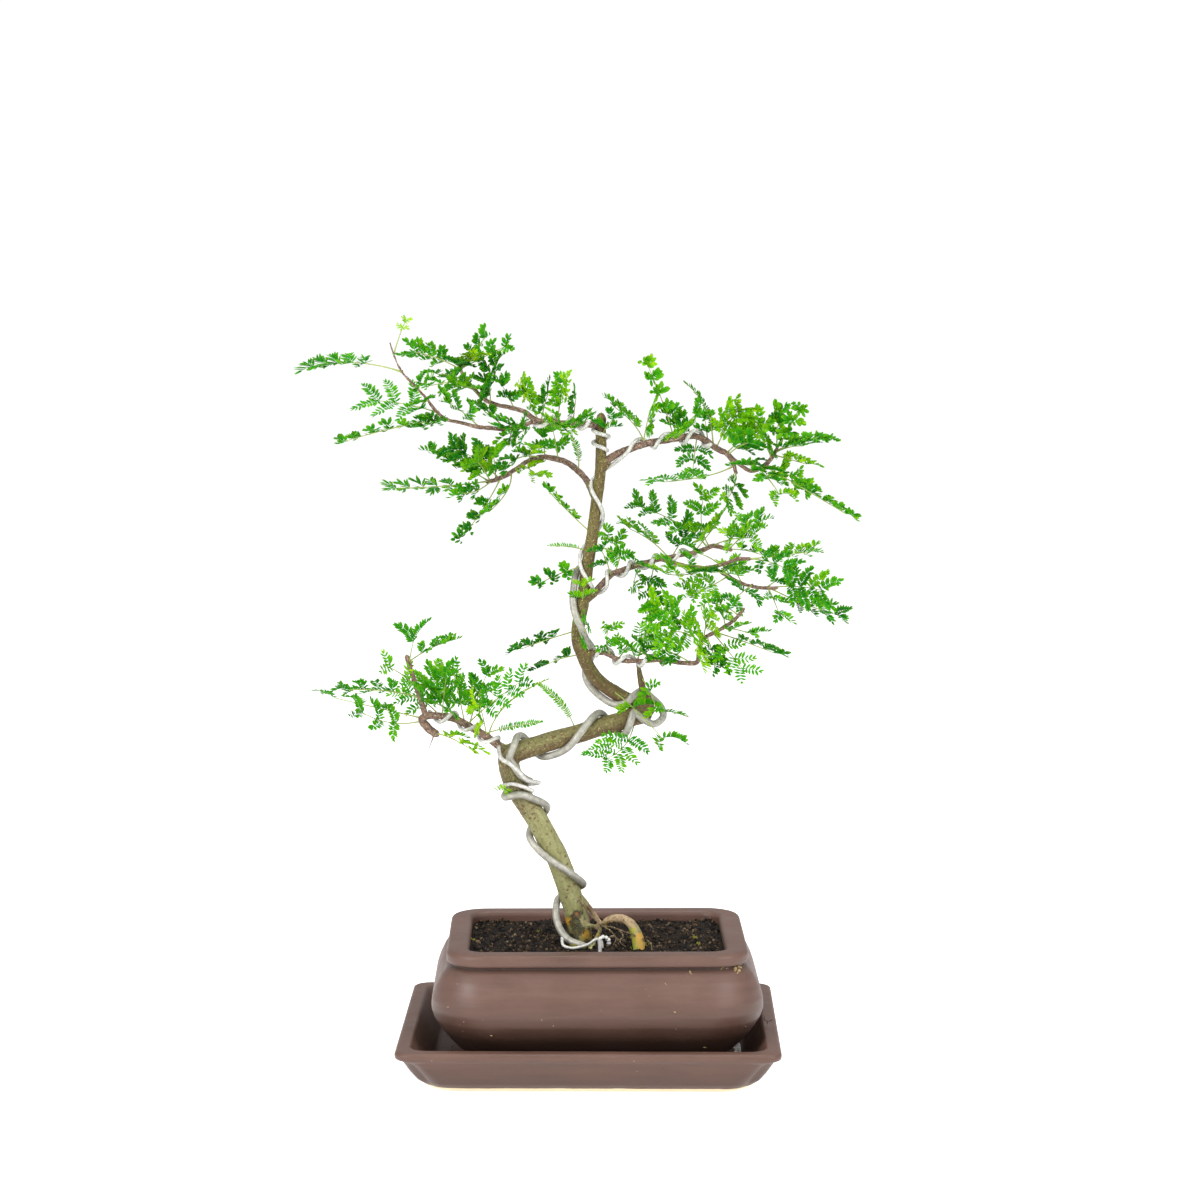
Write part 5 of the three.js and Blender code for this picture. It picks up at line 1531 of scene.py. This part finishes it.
    def cracks(self, saucer: Piece) -> None:
        """Draws the hairline cracks on the saucer's right lip."""
        shape = Shape()
        for line in self.crack_lines:
            spots = smooth_through(np.array([self.on(saucer, *point)[0] for point in line]), 4)
            shape.tube(spots, np.full(len(spots), self.crack_radius), 5)
        settle(shape.build("lip_cracks", [EarthFinish("crack_dirt").make()]), Slot.CLAY)

    def twist(self) -> None:
        """Adds the short end beside the anchor wire, straight at its foot and twisted over its bend."""
        shape = Shape()
        bend = Path(seen_line(self.twist_rows))
        shares = np.linspace(0, 1, 40)
        turned = np.where(shares > 0.55, self.twist_radius + np.sin(shares * 60) * 0.3, self.twist_radius)
        shape.tube(bend.at(shares), turned, 10)
        bright = WireFinish("anchor_wire_bright", colour=linear(214, 212, 208))
        settle(shape.build("anchor_twist", [bright.make()]), Slot.WIRE)

    def puddle(self, saucer: Piece) -> None:
        """Lays the little pool of water left in the saucer's right front corner."""
        pool = primitive(bpy.ops.mesh.primitive_uv_sphere_add, segments=48, ring_count=16, radius=1.0)
        pool.name = "water_film"
        middle, _ = self.on(saucer, *self.pool_spot)
        spots = np.array([vertex.co[:] for vertex in pool.data.vertices])
        turn = np.arctan2(spots[:, 1], spots[:, 0])
        ragged = 1 + 0.22 * np.sin(3 * turn + 1) + 0.12 * np.sin(7 * turn)
        across, back, rise = self.pool_half
        spots = spots * np.column_stack([across * ragged, back * ragged, np.full(len(spots), rise)])
        spots += np.array([middle[0], middle[1], SAUCER_FLOOR + 0.1])
        pool.data.vertices.foreach_set("co", (spots * MM).ravel())
        pool.data.materials.append(WaterFinish("water").make())
        only(pool)
        bpy.ops.object.shade_smooth()
        settle(pool, Slot.CLAY)

    def spilled(self) -> None:
        """Scatters crumbs of soil in the saucer about the pot's foot."""
        draw = np.random.default_rng(self.seed + 2)
        corners, faces = grain_template()
        shape = Shape()
        for turn in draw.uniform(0, 2 * math.pi, self.crumbs):
            x = np.clip(1.6 * math.cos(turn), -1, 1) * draw.uniform(*self.crumb_across)
            y = np.clip(1.6 * math.sin(turn), -1, 1) * draw.uniform(*self.crumb_back)
            size = draw.uniform(0.6, 1.7)
            spot = np.array([[x, y, SAUCER_FLOOR + 0.3 * size]])
            form = corners * draw.uniform(0.7, 1.2, (len(corners), 1))
            axes = tuple(np.array([axis]) * size for axis in np.eye(3))
            shape.stamp((form, faces), spot, axes, tone=np.array([draw.uniform(0.2, 1)]))
        settle(shape.build("spilled_crumbs", [EarthFinish("crumbs").make()], smooth=False), Slot.EARTH)

    def build(self) -> None:
        """Sets out all the small things."""
        pot, saucer = bpy.data.objects["clay_pot"], bpy.data.objects["clay_saucer"]
        self.tufts(bpy.data.objects["potting_grit"])
        self.roots()
        self.chipped(pot)
        self.spilled()
        self.twist()
        self.puddle(saucer)
        self.cracks(saucer)


# Wood
@dataclass
class Trunk:
    """The wired trunk with its root arch and dead spur."""

    voxel: float = 0.7
    step: float = 1.5
    bumps: tuple[Row, ...] = ((0.55, 5.0), (0.3, 1.9), (0.12, 0.9))
    girth: float = 6.0
    thin_girth: float = 3.0
    parts_apart: float = 500.0
    front_depth: float = -2.0

    def build(self) -> None:
        """Builds the trunk and carries its bark values onto it."""
        shape = Shape()
        paths = {name: Path.seen(WOOD[name]) for name in TRUNK_WOOD}
        for path in paths.values():
            shares = np.linspace(0, 1, max(6, int(path.length / self.step)))
            shape.tube(path.at(shares), path.radius(shares), 20)
        for name, (end, grow) in COLLARS.items():
            path = Path.seen(WOOD[name])
            shares = np.linspace(0, end, 6)
            shape.tube(path.at(shares), path.radius(shares) * grow, 14)
        trunk = shape.build("trunk_wood", [BarkFinish("young_bark").make()])
        modify(trunk, "REMESH", mode="VOXEL", voxel_size=self.voxel * MM, use_smooth_shade=True)
        modify(trunk, "SMOOTH", iterations=3)
        self.weather(trunk, paths)
        settle(trunk, Slot.BARK, "trunk")

    def follow(self, spots: Array, paths: dict[str, Path]) -> tuple[Array, Array, Array]:
        """Finds where points lie on the trunk's parts.

        Args:
            spots: Points on the wood, in millimetres.
            paths: The trunk's parts by name.

        Returns:
            For each point its place about and along the wood, the number of its part and the share of that
            part's length.
        """
        straight = np.zeros((len(spots), 3))
        nearest = np.full(len(spots), np.inf)
        part = np.zeros(len(spots), int)
        share_of = np.zeros(len(spots))
        rows = np.arange(len(spots))
        for number, path in enumerate(paths.values()):
            shares = np.linspace(0, 1, max(20, int(path.length / self.step)))
            middle = path.at(shares)
            _, beside, across = carried_frames(middle)
            miss = np.linalg.norm(spots[:, None, :] - middle[None], axis=2)
            pick = np.argmin(miss, axis=1)
            gap = (miss - path.radius(shares)[None])[rows, pick]
            better = gap < nearest
            away = spots - middle[pick]
            turn = np.arctan2(np.sum(away * across[pick], 1), np.sum(away * beside[pick], 1))
            radius = self.thin_girth if number else self.girth
            place = np.column_stack([radius * np.cos(turn), radius * np.sin(turn),
                                     shares[pick] * path.length + self.parts_apart * number])
            straight[better] = place[better]
            nearest[better] = gap[better]
            part[better] = number
            share_of[better] = shares[pick][better]
        return straight, part, share_of

    def near(self, sheet: Array, marks: Sequence[Row]) -> Array:
        """Gives how near points are to marks of across, down, reach and strength, from 0 to 1."""
        value = np.zeros(len(sheet))
        for across, down, reach, strength in marks:
            apart = np.hypot(sheet[:, 0] - across, sheet[:, 1] - down)
            value = np.maximum(value, strength * np.clip(1.4 - apart / reach, 0, 1))
        return value

    def weather(self, trunk: Piece, paths: dict[str, Path]) -> None:
        """Roughens the bark and notes where it is mossed, browned, scarred or pale.

        Args:
            trunk: The wood, remeshed.
            paths: The trunk's parts by name.
        """
        spots = np.array([vertex.co[:] for vertex in trunk.data.vertices]) / MM
        normals = np.array([vertex.normal[:] for vertex in trunk.data.vertices])
        straight, part, share = self.follow(spots, paths)
        stem, spur, root = (part == number for number in range(3))
        front = spots[:, 1] < self.front_depth
        sheet = EYE.sheet(spots)
        near = {name: self.near(sheet, marks) for name, marks in MARKS.items()}
        zones = {
            "mossed": near["mossed"],
            "yellowed": near["yellowed"],
            "greened": near["greened"],
            "damped": near["damped"],
            "ringed": near["ringed"] * front,
            "browned": near["browned"] + near["browned_root"] * ~(stem | spur),
            "scarred": near["scarred"] * front,
            "paled": near["paled_root"] * root + near["paled_foot"] * stem,
            "trunk_share": np.where(stem, share, np.where(spur, 0.5, 0.0)),
        }
        bump = np.array([sum(rise * noise.noise(Vector(spot / wide)) for rise, wide in self.bumps)
                         for spot in spots])
        gain = 0.38 + 0.7 * zones["browned"] + 0.5 * zones["mossed"]
        trunk.data.vertices.foreach_set("co", ((spots + normals * (bump * gain)[:, None]) * MM).ravel())
        for name, numbers in {**zones, "straight": straight}.items():
            note(trunk.data, name, numbers)
        trunk.data.update()


# Wires
@dataclass
class Wire:
    """A training wire: runs of free points and of turns about the wood.

    Args:
        name: Its node.
        size: Its diameter in millimetres.
        runs: For each run the wood and rows of across, down and turn, or no wood and rows of across, down
            and depth.
    """

    name: str
    size: float
    runs: list[tuple[str, list[Row]]]
    steps: int = 24
    spacing: float = 1.1
    crowded: float = 0.9

    def coil(self, wood: str, marks: Sequence[Row]) -> Array:
        """Winds the wire about a branch.

        Args:
            wood: Name of the branch.
            marks: Rows of across, down and turn; a whole turn passes in front.

        Returns:
            The wire's middle line.
        """
        path = Path.seen(WOOD[wood])
        shares = np.array([path.share_at(across, down) for across, down, _ in marks])
        lap = 2 * math.pi * (float(path.radius(shares[0])) + self.size / 2)
        turns = np.array([turn for _, _, turn in marks]) * lap
        unrolled = Path(np.column_stack([shares * path.length, turns, np.zeros(len(marks))]))
        spots = unrolled.at(np.linspace(0, 1, max(4, round(unrolled.length / lap * self.steps))))
        share, turn = spots[:, 0] / path.length, spots[:, 1] / lap * 2 * math.pi
        along = path.along(share)
        front = square_to(np.array([0.0, -1.0, 0.0]), along)
        beside = np.cross(along, front)
        radius = path.radius(share) + self.size / 2 + GAP
        return (path.at(share) + front * (radius * np.cos(turn))[:, None]
                - beside * (radius * np.sin(turn))[:, None])

    def thinned(self, points: Array) -> Array:
        """Drops points that crowd the one before."""
        kept = [points[0]]
        for point in points[1:]:
            if np.linalg.norm(point - kept[-1]) > self.crowded:
                kept.append(point)
        return np.array(kept)

    def build(self, finish: Material) -> None:
        """Builds the wire in a finish."""
        parts = [self.coil(wood, rows) if wood else seen_line(rows) for wood, rows in self.runs]
        line = Path(self.thinned(np.vstack(parts)))
        points = line.at(np.linspace(0, 1, int(line.length / self.spacing)))
        shape = Shape()
        shape.tube(points, np.full(len(points), self.size / 2), 14 if self.size == TRUNK_WIRE else 10)
        settle(shape.build(self.name + "_coil", [finish]), Slot.WIRE, self.name)


WIRES = [
    Wire("trunk_wire", TRUNK_WIRE, [
        ("", [
            (594, 961, -16), (592, 950, -17), (581, 945, -18), (569, 940, -15), (560, 929, -9),
            (556, 915, -4),
        ]),
        ("trunk", [
            (559, 902, 0.3), (581, 884, 0.75), (556, 862, 1), (532, 839, 1.25), (542, 808, 1.75),
            (519, 791, 2), (502, 799, 2.25), (523, 783, 2.78), (514, 758, 3.02), (521, 741, 3.28),
            (543, 756, 3.7), (556, 754, 3.78), (566, 748, 3.87), (577, 734, 4), (597, 716, 4.25),
            (622, 737, 4.72), (627, 724, 4.93), (632, 714, 5.08),
        ]),
        ("", [(643, 719, -7), (654, 724, -3), (663, 717, 3), (661, 707, 8), (652, 698, 10), (643, 691, 7)]),
        ("trunk", [
            (637, 692, 5.88), (623, 699, 6.1), (610, 702, 6.2), (598, 699, 6.26), (589, 689, 6.31),
            (583, 680, 6.38), (594, 646, 6.75), (584, 628, 6.95), (575, 600, 7.18), (576, 574, 7.3),
            (586, 562, 7.55),
        ]),
    ]),
    Wire("lower_wire", THIN_WIRE, [
        ("", [
            (533, 791, -14), (524, 787, -17), (513, 784, -17), (502, 786, -11), (500, 787, -3),
            (508, 786, 6.8), (519, 785, 7.2), (532, 784, 4.8), (539, 783, -3), (537, 782, -12),
            (527, 780, -19.8), (518, 771, -22.4), (510, 764, -24), (501, 758, -22),
        ]),
        ("lower", [(497, 745, 0.6), (489, 738, 1), (470, 727, 2), (446, 717, 3), (430, 716, 3.6)]),
    ]),
    Wire("middle_wire", THIN_WIRE, [
        ("middle", [(599, 653, -0.1), (601, 653, 0), (622, 660, 1), (646, 661, 2), (668, 661, 3)]),
    ]),
    Wire("right_wire", THIN_WIRE, [
        ("right", [
            (597, 590, -0.4), (606, 580, 0), (626, 569, 1), (650, 562, 2), (676, 556, 3), (696, 551, 3.7),
        ]),
    ]),
    Wire("upper_wire", THIN_WIRE, [
        ("trunk", [(584, 591, -0.25), (588, 577, 0), (597, 499, 1), (601, 474, 1.5)]),
        ("upper", [(610, 459, 1.75), (631, 449, 2), (660, 442, 3), (690, 437, 4), (712, 445, 5)]),
    ]),
    Wire("top_wire", THIN_WIRE, [
        ("trunk", [(602, 450, -0.15), (602, 446, 0), (601, 433, 1), (601, 428, 1.35)]),
        ("top", [(592, 425, -0.4), (586, 424, 0), (566, 423, 1), (546, 422, 2), (534, 419, 2.4)]),
    ]),
    Wire("anchor_wire", ANCHOR_WIRE, [
        ("", [
            (562, 938, -20), (563, 945, -23), (570, 948, -25), (580, 947, -26), (589, 944, -26),
            (597, 939, -26), (601, 941, -26), (602, 957, -26),
        ]),
    ]),
]


# Leaves
@dataclass
class Leaf:
    """A twice-divided leaf: a bowed stalk, pairs of pinnae and their leaflets.

    The first fields are its number and its row in LEAF_GROUPS.
    """

    index: int
    wood: str
    foot_across: float
    foot_down: float
    tip_across: float
    tip_down: float
    depth: float
    pairs: int
    length: float
    bow_across: Optional[float] = None
    bow_down: Optional[float] = None
    first_pair: float = 0.42
    late_pair: float = 0.8
    spread: Row = (74, 42)
    face_turn: float = math.radians(110)
    crown_axis: float = 10.0

    @property
    def tip(self) -> tuple[float, float]:
        """Its tip on the front sheet."""
        return self.tip_across, self.tip_down

    @property
    def habit(self) -> Habit:
        """How it holds its leaflets."""
        usual = Habit.RUFFLED if self.wood in RUFFLED_WOODS else Habit.LOOSE
        return HABITS_BY_TIP.get(self.tip, usual)

    def foot(self) -> Array:
        """Gives the stalk's foot on its branch."""
        spot = np.array([self.foot_across, self.foot_down])
        rows = np.array(WOOD[self.wood])[:, :3]
        best, least = rows[0], math.inf
        for start, end in zip(rows, rows[1:]):
            span = (end - start)[:2]
            share = np.clip(((spot - start[:2]) @ span) / (span @ span), 0, 1)
            at = start + share * (end - start)
            miss = math.hypot(*(spot - at[:2]))
            if miss < least:
                best, least = at, miss
        return EYE.seen(*best)

    def stalk(self, foot: Array, tip: Array) -> Path:
        """Gives the stalk's curve from its foot to its tip."""
        bow = (foot + tip) / 2 + np.array([0, 0, 0.1 * np.linalg.norm(tip - foot)])
        if self.bow_across is not None:
            bow = EYE.seen(self.bow_across, self.bow_down, foot[1] + 0.4 * self.depth)
        return Path(bow_at(np.linspace(0, 1, 16)[:, None], foot, bow, tip))

    def face(self, stalk: Path, tip: Array, turn: float) -> Array:
        """Gives the direction that the leaf's face looks in, turned about its stalk."""
        outward = unit(np.array([tip[0] - self.crown_axis, tip[1], 0.0]))
        middle = stalk.along(np.array([0.7]))[0]
        face = square_to(np.array([0, -0.35, 1.0]) + 0.45 * outward, middle)
        return math.cos(turn) * face + math.sin(turn) * np.cross(middle, face)

    def grow(self, wood: Shape, blades: LeafletStore) -> None:
        """Grows the leaf.

        Args:
            wood: Shape that takes the stalks.
            blades: Store that takes the leaflets.
        """
        draw = Draw(LEAF_SEED + self.index * 101)
        foot = self.foot()
        tip = EYE.seen(*self.tip, foot[1] + self.depth)
        stalk = self.stalk(foot, tip)
        face = self.face(stalk, tip, (draw.next() - 0.5) * self.face_turn)
        tint = TINTS.get(self.tip, MIDDLE_TINT + 0.34 * (draw.next() - 0.5))
        blades.style = STYLES[self.habit]
        shares = np.linspace(0, 1, max(8, int(np.linalg.norm(tip - foot) / 2.5)))
        wood.tube(stalk.at(shares), np.interp(shares, [0, 0.12, 1], [0.8, 0.45, 0.26]), 6, slot=1)
        if self.habit is Habit.FRINGE:
            self.fringe(stalk, face, tint, blades)
            return
        first = self.late_pair if self.habit is Habit.SPROUT else self.first_pair
        wide, narrow = self.spread
        for i in range(self.pairs):
            share = i / (self.pairs - 1) if self.pairs > 1 else 1.0
            at = np.array([first + (1 - first) * share])
            root, along = stalk.at(at)[0], stalk.along(at)[0]
            normal = square_to(face, along)
            side = np.cross(along, normal)
            spread = math.radians(wide + (narrow - wide) * share)
            full = self.length * (0.8 + 0.2 * math.sin(math.pi * (i + 1) / (self.pairs + 1)))
            for hand in (1, -1):
                way = unit(along * math.cos(spread) + side * hand * math.sin(spread)
                           + normal * (0.12 + 0.2 * draw.next()))
                size = full * (0.9 + 0.2 * draw.next()) * blades.style.reach
                end = root + way * size + along * 0.08 * size
                end[2] -= 0.06 * size
                self.pinna(root, end, square_to(normal, way), size, tint, wood, blades)

    def fringe(self, stalk: Path, face: Array, tint: float, blades: LeafletStore, start: float = 0.3) -> None:
        """Sets leaflets along the stalk itself, from a share of its length on."""
        count = int(stalk.length * (1 - start) / blades.style.pitch)
        shares = np.linspace(start, 1, count)
        blades.fold = 0.3
        blades.row(stalk.at(shares), stalk.along(shares), face, np.linspace(0, 1, count), tint)

    def pinna(self, root: Array, end: Array, blade: Array, size: float, tint: float, wood: Shape,
              blades: LeafletStore) -> None:
        """Grows one pinna with its two rows of leaflets.

        Args:
            root: Its foot on the stalk.
            end: Its tip.
            blade: Direction that its face looks in.
            size: Its length.
            tint: Lightness of the leaf, from 0 to 1.
            wood: Shape that takes its rib.
            blades: Store that takes its leaflets.
        """
        style = blades.style
        blades.fold = blades.draw.uniform(*style.fold)
        curl = np.cross(unit(end - root), blade) * blades.draw.uniform(-style.curl, style.curl)
        bow = (root + end) / 2 + (blade * blades.draw.uniform(*style.bow) + curl) * size
        t = np.linspace(0, 1, 9)
        axis = bow_at(t[:, None], root, bow, end)
        wood.tube(axis, np.linspace(0.2, 0.1, len(axis)), 4, slot=2)
        shares = np.linspace(0.07, 1.0, max(4, int(size * 0.94 / style.pitch)))
        spots = np.stack([np.interp(shares, t, column) for column in axis.T], -1)
        along = unit(np.gradient(spots, axis=0))
        blades.row(spots, along, blade, shares, tint + blades.draw.normal(0, 0.08))


LEAVES = [Leaf(index, *row) for index, row in enumerate(
    (wood, *row) for wood, rows in LEAF_GROUPS for row in rows)]


class LeafletStore:
    """Every leaflet of one stem, kept as rows until they are stamped together."""

    thick = 0.22

    def __init__(self, seed: int) -> None:
        """Starts an empty store."""
        self.draw = np.random.default_rng(seed)
        self.rows: list[Array] = []
        self.style = STYLES[Habit.LOOSE]
        self.fold = 0.4

    def row(self, spots: Array, along: Array, blade: Array, shares: Array, tint: float) -> None:
        """Adds both sides of one pinna.

        Args:
            spots: Places along the pinna.
            along: Direction along it at each place.
            blade: Direction that its face looks in.
            shares: Share of its length at each place.
            tint: Lightness of the leaf, from 0 to 1.
        """
        draw, style = self.draw, self.style
        count = len(spots)
        face = square_to(np.broadcast_to(blade, along.shape), along)
        side = np.cross(along, face)
        leaning = np.interp(shares, [0, 0.75, 1], style.lean)
        taper = np.interp(shares, [0, 0.25, 0.75, 1], [0.72, 1, 0.95, 0.75])
        for hand in (1, -1):
            lean = np.radians(leaning + draw.normal(0, style.scatter, count))
            lift = draw.normal(self.fold, 0.12, count)
            way = unit(along * np.cos(lean)[:, None] + side * (hand * np.sin(lean))[:, None]
                       + face * lift[:, None])
            top = square_to(face + side * (draw.normal(0, 0.25, count) - 0.1 * hand)[:, None]
                            + along * draw.normal(0.12, 0.16, count)[:, None], way)
            long = style.long * taper * draw.uniform(0.84, 1.12, count)
            wide = long * draw.uniform(*style.wide, count)
            shade = np.clip(tint + draw.normal(0, 0.08, count) + 0.08 * shares, 0, 1)
            self.rows.append(np.column_stack([spots, way, np.cross(top, way), top, long, wide, shade]))

    def stamp(self, template: Template) -> Shape:
        """Stamps the template at every leaflet and gives the shape."""
        table = np.vstack(self.rows)
        spots, way, side, top = table[:, 0:3], table[:, 3:6], table[:, 6:9], table[:, 9:12]
        long, wide, tint = table[:, 12:13], table[:, 13:14], table[:, 14]
        shape = Shape()
        form = template[0]
        edge = np.clip(1.4 * form[:, 0] - 0.3, 0, 1) * (1 - np.abs(form[:, 2]))
        axes = (way * long, side * wide, top * self.thick)
        shape.stamp(template, spots, axes, by_corner={"edge": edge}, tint=tint)
        return shape


@dataclass
class Foliage:
    """The side branches with their leaves, and the leaves that stand on the trunk."""

    leaflet_half: tuple[Row, ...] = ((0.18, 0.38), (0.56, 0.5), (0.88, 0.27))
    knob: float = 0.8
    thorn_ends: tuple[Row, Row] = ((434, 735, -27), (428, 751, -28))
    trunk_seed: int = 500

    def leaflet(self) -> Template:
        """Gives one leaflet, a thin closed lens of length 1 and width 1."""
        near_side = [(x, -y) for x, y in self.leaflet_half]
        rim = [(0.0, 0.0), *near_side, (1.0, 0.0), *reversed(self.leaflet_half)]
        size = len(rim)
        corners = np.array([(x, y, 0.0) for x, y in rim] + [(0.5, 0, 0.5), (0.5, 0, -0.5)])
        faces = [(k, (k + 1) % size, size) for k in range(size)]
        faces += [((k + 1) % size, k, size + 1) for k in range(size)]
        return corners, faces

    def stem(self, name: str, finishes: Sequence[Material], green: Material, template: Template) -> None:
        """Builds a side branch and all its leaves.

        Args:
            name: Its name in STEMS.
            finishes: Materials of the wood, the stalks and the ribs.
            green: Material of the leaflets.
            template: One leaflet.
        """
        wood = Shape()
        for number, part in enumerate(STEMS[name]):
            path = Path.seen(WOOD[part])
            shares = np.linspace(0, 1, max(8, int(path.length / 0.9)))
            wood.tube(path.at(shares), path.radius(shares), 12, rough=0.3, seed=number * 7.0)
        blades = LeafletStore(len(name) * 31 + ord(name[0]))
        for leaf in LEAVES:
            if leaf.wood in STEMS[name]:
                leaf.grow(wood, blades)
                self.bud(wood, leaf)
        if name == "lower":
            wood.tube(np.linspace(*seen_line(self.thorn_ends), 6), np.linspace(0.55, 0.12, 6), 6)
        settle(wood.build(f"{name}_branch", finishes), Slot.BARK, f"stem_{name}")
        leaves = blades.stamp(template).build(f"{name}_leaflets", [green], smooth=False)
        settle(leaves, Slot.LEAF, f"stem_{name}")

    def bud(self, wood: Shape, leaf: Leaf) -> None:
        """Sets a knob at a leaf's foot."""
        foot = leaf.foot()
        rise = foot + np.array([0, -0.3, 0.9])
        wood.tube(np.array([foot, (foot + rise) / 2, rise]), np.array([0.9, 1.15, 0.7]) * self.knob, 8,
                  rough=0.25, seed=leaf.index * 1.7)

    def build(self) -> None:
        """Builds every branch and leaf."""
        template = self.leaflet()
        rib = StalkFinish("pinna_rib", green=linear(58, 140, 20), straw=linear(84, 150, 30))
        finishes = [finish.make() for finish in (TwigFinish("twig_bark"), StalkFinish("leaf_stalk"), rib)]
        green = LeafletFinish("leaflet").make()
        for name in STEMS:
            self.stem(name, finishes, green, template)
        on_trunk = [leaf for leaf in LEAVES if leaf.wood in TRUNK_WOOD]
        for number, leaf in enumerate(on_trunk, 1):
            wood, blades = Shape(), LeafletStore(self.trunk_seed + number)
            leaf.grow(wood, blades)
            settle(wood.build(f"trunk_stalk_{number}", finishes), Slot.LEAF, f"trunk_leaf_{number}")
            leaves = blades.stamp(template).build(f"trunk_leaflets_{number}", [green], smooth=False)
            settle(leaves, Slot.LEAF, f"trunk_leaf_{number}")


# Studio
@dataclass
class Studio:
    """A white floor, soft lights and the front view's camera."""

    lens: float = 99.0
    sensor: float = 36.0
    surround: float = 0.6
    backdrop: float = 1.05
    aim: Row = (0, 0, 0.2)
    lights: tuple[tuple[str, Row, float, float], ...] = (
        ("left_box", (-1.3, -1.3, 1.2), 0.8, 34), ("right_box", (1.3, -1.3, 1.2), 0.8, 30),
        ("top_box", (0.1, 0.2, 1.9), 1.2, 22),
    )

    def floor(self) -> None:
        """Lays the white floor."""
        floor = primitive(bpy.ops.mesh.primitive_plane_add, size=8)
        floor.name = "studio_floor"
        floor.location = (0, 0, -0.0002)
        white = Recipe("studio_floor").surface(
            (0.8, 0.8, 0.8), 0.8, Specular_IOR_Level=0.0, Emission_Color=(1, 1, 1), Emission_Strength=0.55)
        floor.data.materials.append(white)
        floor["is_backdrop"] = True

    def light(self, name: str, place: Row, size: float, power: float) -> None:
        """Adds a square soft light.

        Args:
            name: Name of the light.
            place: Its place, in metres.
            size: Side of the square, in metres.
            power: Power in watts.
        """
        lamp = bpy.data.lights.new(name, "AREA")
        lamp.size = size
        lamp.energy = power
        holder = bpy.data.objects.new(name, lamp)
        holder.location = place
        holder.rotation_mode = "QUATERNION"
        holder.rotation_quaternion = (Vector(self.aim) - Vector(place)).to_track_quat("-Z", "Y")
        bpy.context.scene.collection.objects.link(holder)

    def world(self) -> None:
        """Lights the surroundings a plain white."""
        world = bpy.data.worlds.new("studio_white")
        world.use_nodes = True
        tree = world.node_tree
        shade = tree.nodes["Background"]
        shade.inputs["Color"].default_value = (1, 1, 1, 1)
        path = tree.nodes.new("ShaderNodeLightPath")
        strength = tree.nodes.new("ShaderNodeMapRange")
        strength.inputs["To Min"].default_value = self.surround
        strength.inputs["To Max"].default_value = self.backdrop
        tree.links.new(path.outputs["Is Camera Ray"], strength.inputs["Value"])
        tree.links.new(strength.outputs[0], shade.inputs["Strength"])
        bpy.context.scene.world = world
        bpy.context.scene.view_settings.view_transform = "Standard"

    def camera(self) -> None:
        """Sets the camera at the front view's eye."""
        lens = bpy.data.cameras.new("front_camera")
        lens.lens = self.lens
        lens.sensor_width = self.sensor
        lens.clip_end = 50
        holder = bpy.data.objects.new("front_camera", lens)
        axes = Matrix((EYE.right, EYE.up, -EYE.forward)).transposed()
        holder.matrix_world = Matrix.Translation(Vector(EYE.place) * MM) @ axes.to_4x4()
        bpy.context.scene.collection.objects.link(holder)
        bpy.context.scene.camera = holder

    def build(self) -> None:
        """Sets up the studio."""
        self.world()
        self.floor()
        self.camera()
        for row in self.lights:
            self.light(*row)


def corners() -> list[list[float]]:
    """Gives the shown object's lowest and highest corners as plain numbers."""
    return [[float(value) for value in corner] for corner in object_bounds()]


def main() -> None:
    """Builds the bonsai in order."""
    logging.basicConfig(level=logging.INFO, format="%(name)s %(message)s", stream=sys.stdout)
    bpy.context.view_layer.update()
    Studio().build()
    Planter().build()
    Ground().build()
    Litter().build()
    Trunk().build()
    bright = WireFinish("aluminium_wire", colour=linear(206, 204, 198)).make()
    dull = WireFinish("aluminium_wire_dull", colour=linear(168, 165, 154)).make()
    for wire in WIRES:
        wire.build(dull if wire.size == TRUNK_WIRE else bright)
    Foliage().build()


if __name__ == "__main__":
    main()
